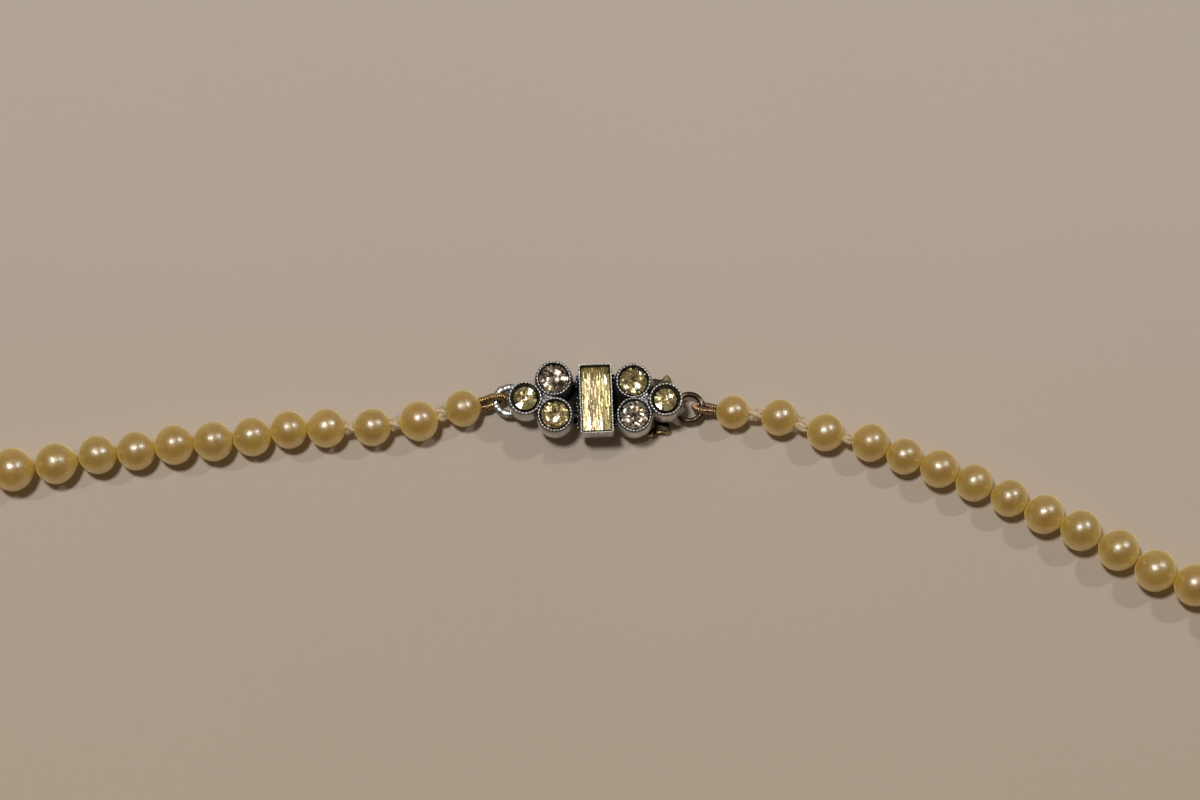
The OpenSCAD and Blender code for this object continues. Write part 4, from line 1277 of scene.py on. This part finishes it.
def streak(x, y, base):
    """Tint and lean by place in the baguette. The tints paint the stone's reflections: pale columns at the left and
    right of middle, white spots and a dark diagonal line; some tiles lean to catch the lamp.
    """
    a = math.exp(-(((x + 0.93) / 0.26) ** 2)) + 0.9 * math.exp(-(((x - 0.26) / 0.13) ** 2))
    b = math.exp(-(((x + 0.32) / 0.34) ** 2))
    col = arr(0.95, 0.82, 0.42) * (1 - b) + arr(0.86, 0.68, 0.46) * b
    col = col * (base * rng.uniform(0.8, 1.2))
    lean = rng.normal(size=2) * arr(0.20, 0.05) - GLINT
    if rng.random() < 0.90 * a:
        col, lean = arr(0.98, 0.90, 0.58) * rng.uniform(0.65, 1.0), GLINT * rng.uniform(-0.2, 0.9)
    if rng.random() < 0.22 * b:
        col, lean = arr(0.95, 0.82, 0.62), GLINT * rng.uniform(-0.2, 0.8)
    for cx, cy, sx, sy, tint in ((0.90, 1.75, 0.14, 0.50, WHITE), (-0.68, -2.05, 0.17, 0.60, WHITE), (0.32, -2.25, 0.20, 0.32, WHITE), (0.10, 1.45, 0.35, 0.12, PALE), (-0.70, 1.95, 0.12, 0.10, PALE), (1.0, -1.1, 0.10, 0.16, PALE)):
        if ((x - cx) / sx) ** 2 + ((y - cy) / sy) ** 2 < 1:
            col, lean = arr(*tint), GLINT + rng.normal(size=2) * 0.03
    if abs(y + 1.80 + 0.95 * (x - 0.20)) < 0.09 and x > 0.15:
        col, lean = arr(0.14, 0.10, 0.04), -GLINT
    # painted shade: tiles towards the far end, and the last strip at the near end, are darkened
    end = float(smooth01((y - 1.75) / 0.45)) if not (x > 0.76 and y < 2.3) else 0.0
    if end > 0:
        col = col * (1 - end) + end * arr(0.34, 0.26, 0.10) * rng.uniform(0.5, 1.5)
        lean = lean * (1 - end) + end * (-GLINT + rng.normal(size=2) * 0.1)
    if y < -2.66:
        col = col * 0.5
    return col, lean


xs = [-1.255]
while xs[-1] < 1.19:
    xs.append(xs[-1] + rng.uniform(0.045, 0.10))
xs[-1] = 1.245
for x0, x1 in zip(xs, xs[1:]):
    y, base = -2.82, rng.choice([0.45, 0.8, 1.0, 1.15])
    while y < 2.93:
        y2 = min(y + rng.choice([0.14, 0.3, 0.6, 1.2]) * rng.uniform(0.7, 1.3), 2.97)
        if 2.97 - y2 < 0.12:
            y2 = 2.97
        col, lean = streak((x0 + x1) / 2, (y + y2) / 2, base)
        box = np.array([[x0, y], [x1, y], [x1, y2], [x0, y2]])
        box[:, 0] += rng.normal(size=4) * 0.006
        z = 3.60 + rng.uniform(-0.010, 0.010) - 0.04 * abs(x0)
        tile(f, (np.c_[box, np.zeros(4)] @ TILT.T)[:, :2], z, lean, col, 0.2)
        y = y2
f.build("baguette_foil", [FOIL])


# ---------------------------------------------------------------- gimps
def gimp_path(w, wire_d, c, d, gd, far, roll):
    """A loop round a ring's wire at w: one leg over it and one under, turning side by side towards the pearl."""
    spread = (wire_d / 2 + gd / 2 + 0.03) / math.cos(math.radians(roll))
    v = c - w
    l = np.linalg.norm(v) - d / 2 + 0.02
    near = gd / 2
    pts = [(l, near), (0.8 * l, near), (0.55 * l, near + 0.03)]
    pts += [(spread * math.cos(math.radians(a)), spread * math.sin(math.radians(a))) for a in range(70, 291, 15)]
    pts += [(0.55 * l, -near - 0.03), (0.8 * l, -near), (l, -near)]
    out = []
    for x, off in pts:
        th = math.radians(roll + (far - roll) * float(smooth01((x / l - 0.05) / 0.5)))
        out.append((x, -math.sin(th) * off, math.cos(th) * off))
    m = turned(2, math.degrees(math.atan2(v[1], v[0]))) @ turned(1, math.degrees(math.acos(v[2] / np.linalg.norm(v))) - 90)
    return np.array(out) @ m.T + w


def gimp(name, node, w, wire_d, c, d, mat, pitch, seed, gd=GIMP_D, far=70, wire=0.075, roll=ROLL):
    rng = np.random.default_rng(seed)
    s = Soup(dirt=0.2)
    path, t = resample(spline(gimp_path(w, wire_d, c, d, gd, far, roll), 8), 0.012)
    n = np.interp(t, [0, t[-1]], [0, t[-1] / pitch])
    wav = np.cumsum(rng.normal(size=60)) * 0.02
    n = n + np.interp(t, np.linspace(0, t[-1], 60), wav)
    ang = 2 * math.pi * n
    _, a, b = transported(path)
    rad = gd / 2 - wire + 0.022 + 0.012 * np.sin(3.1 * t + seed)
    coil = path + rad[:, None] * (np.cos(ang)[:, None] * a + np.sin(ang)[:, None] * b)
    coil, _ = resample(coil, 0.075)
    mid = path[np.argmin(((coil[:, None, ::1] - path[None, ::12]) ** 2).sum(2), 1) * 12]
    out = (coil - mid) / np.linalg.norm(coil - mid, axis=1)[:, None]
    # painted shade: each turn of wire is darker on its underside
    dirt = smooth01((0.50 - out[:, 2]) / 0.9) * 0.92
    sweep(s, coil, wire, 8, dirt=dirt)
    s.build(name, [mat], [node], "gimp_wire")
    # painted shade: the silk inside the coil is darkened
    core = Soup(dirt=0.7)
    cp, _ = resample(path, 0.1)
    sweep(core, cp, gd / 2 - 2 * wire + 0.02, 8, dirt=0.9)
    core.build(name + "_silk", [SILK], (), "silk")


gimp("gimp_coil_left", "gimp_left", LEFT_RING - arr(1.2, 0, 0), 0.66, left_c[0], LEFT[0][0], GIMP_GOLD, 0.158, 3, 0.64, 84, 0.066, 18)
gimp("gimp_coil_right", "gimp_right", RIGHT_RING + arr(1.20, 0, 0), 0.54, right_c[0], RIGHT[0][0], GIMP_ROSE, 0.185, 4, 0.60, 50)

# ---------------------------------------------------------------- right ring and tongue
s = Soup(dirt=0.1)
a = np.linspace(math.radians(200), math.radians(558), 110)  # a butt joint near the eye
R = RING_D / 2 - 0.26
line = RIGHT_RING + R * np.stack([np.cos(a), np.sin(a), np.zeros(len(a))], 1)
k = np.arange(16) / 16 * 2 * math.pi
flat = np.stack([np.clip(np.cos(k), -0.93, 0.93), np.clip(np.sin(k), -0.88, 0.88)], 1)
sweep(s, line, 0.275 * (1 + 0.02 * np.sin(11 * a)), profile=flat, dirt=0.10)
s.build("jump_ring_tarnished", [DARK_RING], ["ring_right"], "tarnished_ring", sharp=50)

s = Soup(dirt=0.2)


def strip(soup, line, w0, w1, t, edge=0.05, **kw):
    """A sheet strip of width w0..w1 in y along an (x, z) line, with rounded edges."""
    p = np.array([[x, 0, z] for x, z in line], float)
    p = spline(p, 6)
    d = np.gradient(p, axis=0)
    d /= np.linalg.norm(d, axis=1)[:, None]
    n = np.stack([-d[:, 2], d[:, 1] * 0, d[:, 0]], 1)
    rr = []
    for q, m in zip(p, n):
        o = []
        for y, h in ((w0 + edge, t / 2), (w1 - edge, t / 2), (w1, t / 2 - edge), (w1, -t / 2 + edge), (w1 - edge, -t / 2), (w0 + edge, -t / 2), (w0, -t / 2 + edge), (w0, t / 2 - edge)):
            o.append(q + arr(0, y, 0) + m * h)
        rr.append(o)
    loft(soup, rr, (True, True), **kw)


strip(s, [(5.75, 0.575), (3, 0.575), (0, 0.575), (-2.6, 0.575), (-3.9, 0.575), (-4.18, 0.70), (-4.275, 0.95), (-4.18, 1.20), (-3.9, 1.325), (-2.6, 1.325), (1.0, 1.33), (4.7, 1.325)], -1.2, 1.2, 0.25, dirt=0.25)


def plate(soup, outline, z0, z1, edge, curl, dirt_and_shade_levels=(1.0, 0.92)):
    """A flat wing with rounded edges, its rim curled up by curl."""
    o = np.asarray(outline, float)
    o = spline(np.c_[o, np.zeros(len(o))], 4, closed=True)[:, :2]
    mid = o.mean(0)
    rr, dd = [], []
    for k, z, lift, d in ((0.0001, z1, 0, dirt_and_shade_levels[0]), (0.55, z1, 0, dirt_and_shade_levels[0]), (0.80, z1, 0.15, dirt_and_shade_levels[0]), (0.93, z1, 0.7, dirt_and_shade_levels[1]), (0.985, z1, 1, 0.62), (1.0, (z0 + z1) / 2, 1, 0.55), (0.985, z0, 1, 0.6), (0.90, z0, 0.6, 0.4), (0.75, z0, 0, 0.5), (0.0001, z0, 0, 0.5)):
        q = mid + (o - mid) * k
        rr.append(np.c_[q, np.full(len(q), z + lift * curl) + 0.02 * np.sin(q[:, 0] * 5) * k])
        dd.append(np.full(len(q), d))
    rr, dd = rr[::-1], dd[::-1]
    loft(soup, rr, (False, False), dirt=np.concatenate(dd))


upper = [(5.32, 1.15), (5.28, 1.95), (5.12, 2.24), (5.10, 2.40), (5.40, 2.42), (5.80, 2.34), (6.10, 2.44), (6.38, 2.74), (6.62, 2.70), (6.80, 2.30), (6.60, 1.70), (6.50, 1.10), (5.9, 0.9)]
lower = [(5.9, -0.9), (6.50, -1.10), (6.62, -1.8), (6.80, -2.20), (6.66, -2.50), (6.30, -2.58), (5.95, -2.46), (5.62, -2.50), (5.25, -2.80), (4.92, -2.86), (4.72, -2.62), (5.00, -2.25), (5.30, -1.95), (5.32, -1.15)]
# painted shade with tarnish: the wings' tops are darkened, the lower wing's fully as it lies in the collet's shadow
plate(s, upper, 0.46, 0.74, 0.05, 0.06)
plate(s, lower, 0.46, 0.74, 0.05, 0.10, (1.0, 1.0))
neck = np.array([(5.6, -1.1), (6.4, -1.0), (7.0, -0.62), (7.12, -0.62), (7.12, 0.02), (7.0, 0.02), (6.4, 0.95), (5.6, 1.1)])
plate(s, neck, 0.47, 0.73, 0.04, 0.0)
# gold lips on the lower wing, an olive edge on the upper one
for q, rr in (([(4.70, -2.60, 0.80), (4.80, -2.80, 0.84), (4.98, -2.86, 0.84), (5.10, -2.66, 0.80), (5.16, -2.52, 0.80)], 0.085), ([(5.50, -2.50, 0.80), (5.75, -2.50, 0.84), (6.05, -2.50, 0.85), (6.36, -2.56, 0.82), (6.60, -2.44, 0.80)], 0.06)):
    sweep(s, spline(np.array(q), 6), rr, 9, dirt=0.0)
ridge = np.array([(6.06, 2.38, 0.76), (6.36, 2.68, 0.80), (6.60, 2.64, 0.80), (6.76, 2.30, 0.78)])
sweep(s, spline(ridge, 6), 0.045, 8, dirt=0.86)
loft(s, [np.array([(6.02, 2.28, z), (6.68, 2.22, z), (6.56, 2.60, z), (6.36, 2.64, z)]) for z in (0.70, 0.80)], (True, True), dirt=0.86)
# rolled eye
a = np.linspace(math.radians(-100), math.radians(215), 40)
eye = [(RIGHT_RING[0] - R + 0.40 * math.cos(t), RIGHT_RING[2] + 0.40 * math.sin(t)) for t in a]
strip(s, eye, RIGHT_RING[1] - 0.4, RIGHT_RING[1] + 0.4, 0.18, 0.04, dirt=0.3)
s.build("tongue_brass", [BRONZE], ["clasp_tongue"], "brass_tongue", sharp=55)

# ---------------------------------------------------------------- stage
size = 3.0
me = bpy.data.meshes.new("floor")
me.from_pydata([(-size, -size, 0), (size, -size, 0), (size, size, 0), (-size, size, 0)], [], [(0, 1, 2, 3)])
me.materials.append(floor_material())
floor = bpy.data.objects.new("floor", me)
scene.collection.objects.link(floor)

AIM = arr(-0.0010, 0.0575, 0.002)


def lamp(name, direction, distance, size, power, colour):
    d = bpy.data.lights.new(name, "AREA")
    d.shape = "DISK"
    d.size = size
    d.energy = power
    d.color = colour
    o = bpy.data.objects.new(name, d)
    scene.collection.objects.link(o)
    o.location = Vector(AIM + unit(direction) * distance)
    o.rotation_euler = (Vector(AIM) - o.location).to_track_quat("-Z", "Y").to_euler()
    return o


lamp("key", (-0.20, 0.165, 0.966), 1.0, 0.15, 4.45, (0.97, 0.985, 0.97))
lamp("second", (0.58, 0.36, 0.73), 1.0, 0.055, 1.3, (0.97, 0.985, 1.0))
# the same lamp's glare in polished things alone
lamp("glare", (0.58, 0.36, 0.73), 1.0, 0.075, 0.85, (0.82, 0.97, 1.18)).visible_diffuse = False

world = bpy.data.worlds.new("studio")
scene.world = world
world.use_nodes = True
wt = world.node_tree
bg = wt.nodes["Background"]
geo = wt.nodes.new("ShaderNodeTexCoord")
sep = wt.nodes.new("ShaderNodeSeparateXYZ")
wt.links.new(geo.outputs["Generated"], sep.inputs[0])


def wmath(op, a, b):
    n = wt.nodes.new("ShaderNodeMath")
    n.operation = op
    for s_, v_ in zip(n.inputs, (a, b)):
        if isinstance(v_, bpy.types.NodeSocket):
            wt.links.new(v_, s_)
        else:
            s_.default_value = v_
    return n.outputs[0]


# a dim room: dark overhead and towards the viewer, lighter at the back and sides
level = wmath("MULTIPLY_ADD", sep.outputs["Y"], 0.10)
level.node.inputs[2].default_value = 0.19
level.node.name = "level"
steep = wmath("POWER", wmath("MAXIMUM", sep.outputs["Z"], 0.0), 2.0)
steep.node.name = "steep"
dark = wmath("MULTIPLY", steep, 0.9)
dark.node.name = "dark"
over = wmath("SUBTRACT", 1.0, dark)
level = wmath("MULTIPLY", wmath("MAXIMUM", level, 0.03), over)
bg.inputs["Color"].default_value = (1.0, 0.86, 0.66, 1.0)
wt.links.new(level, bg.inputs["Strength"])
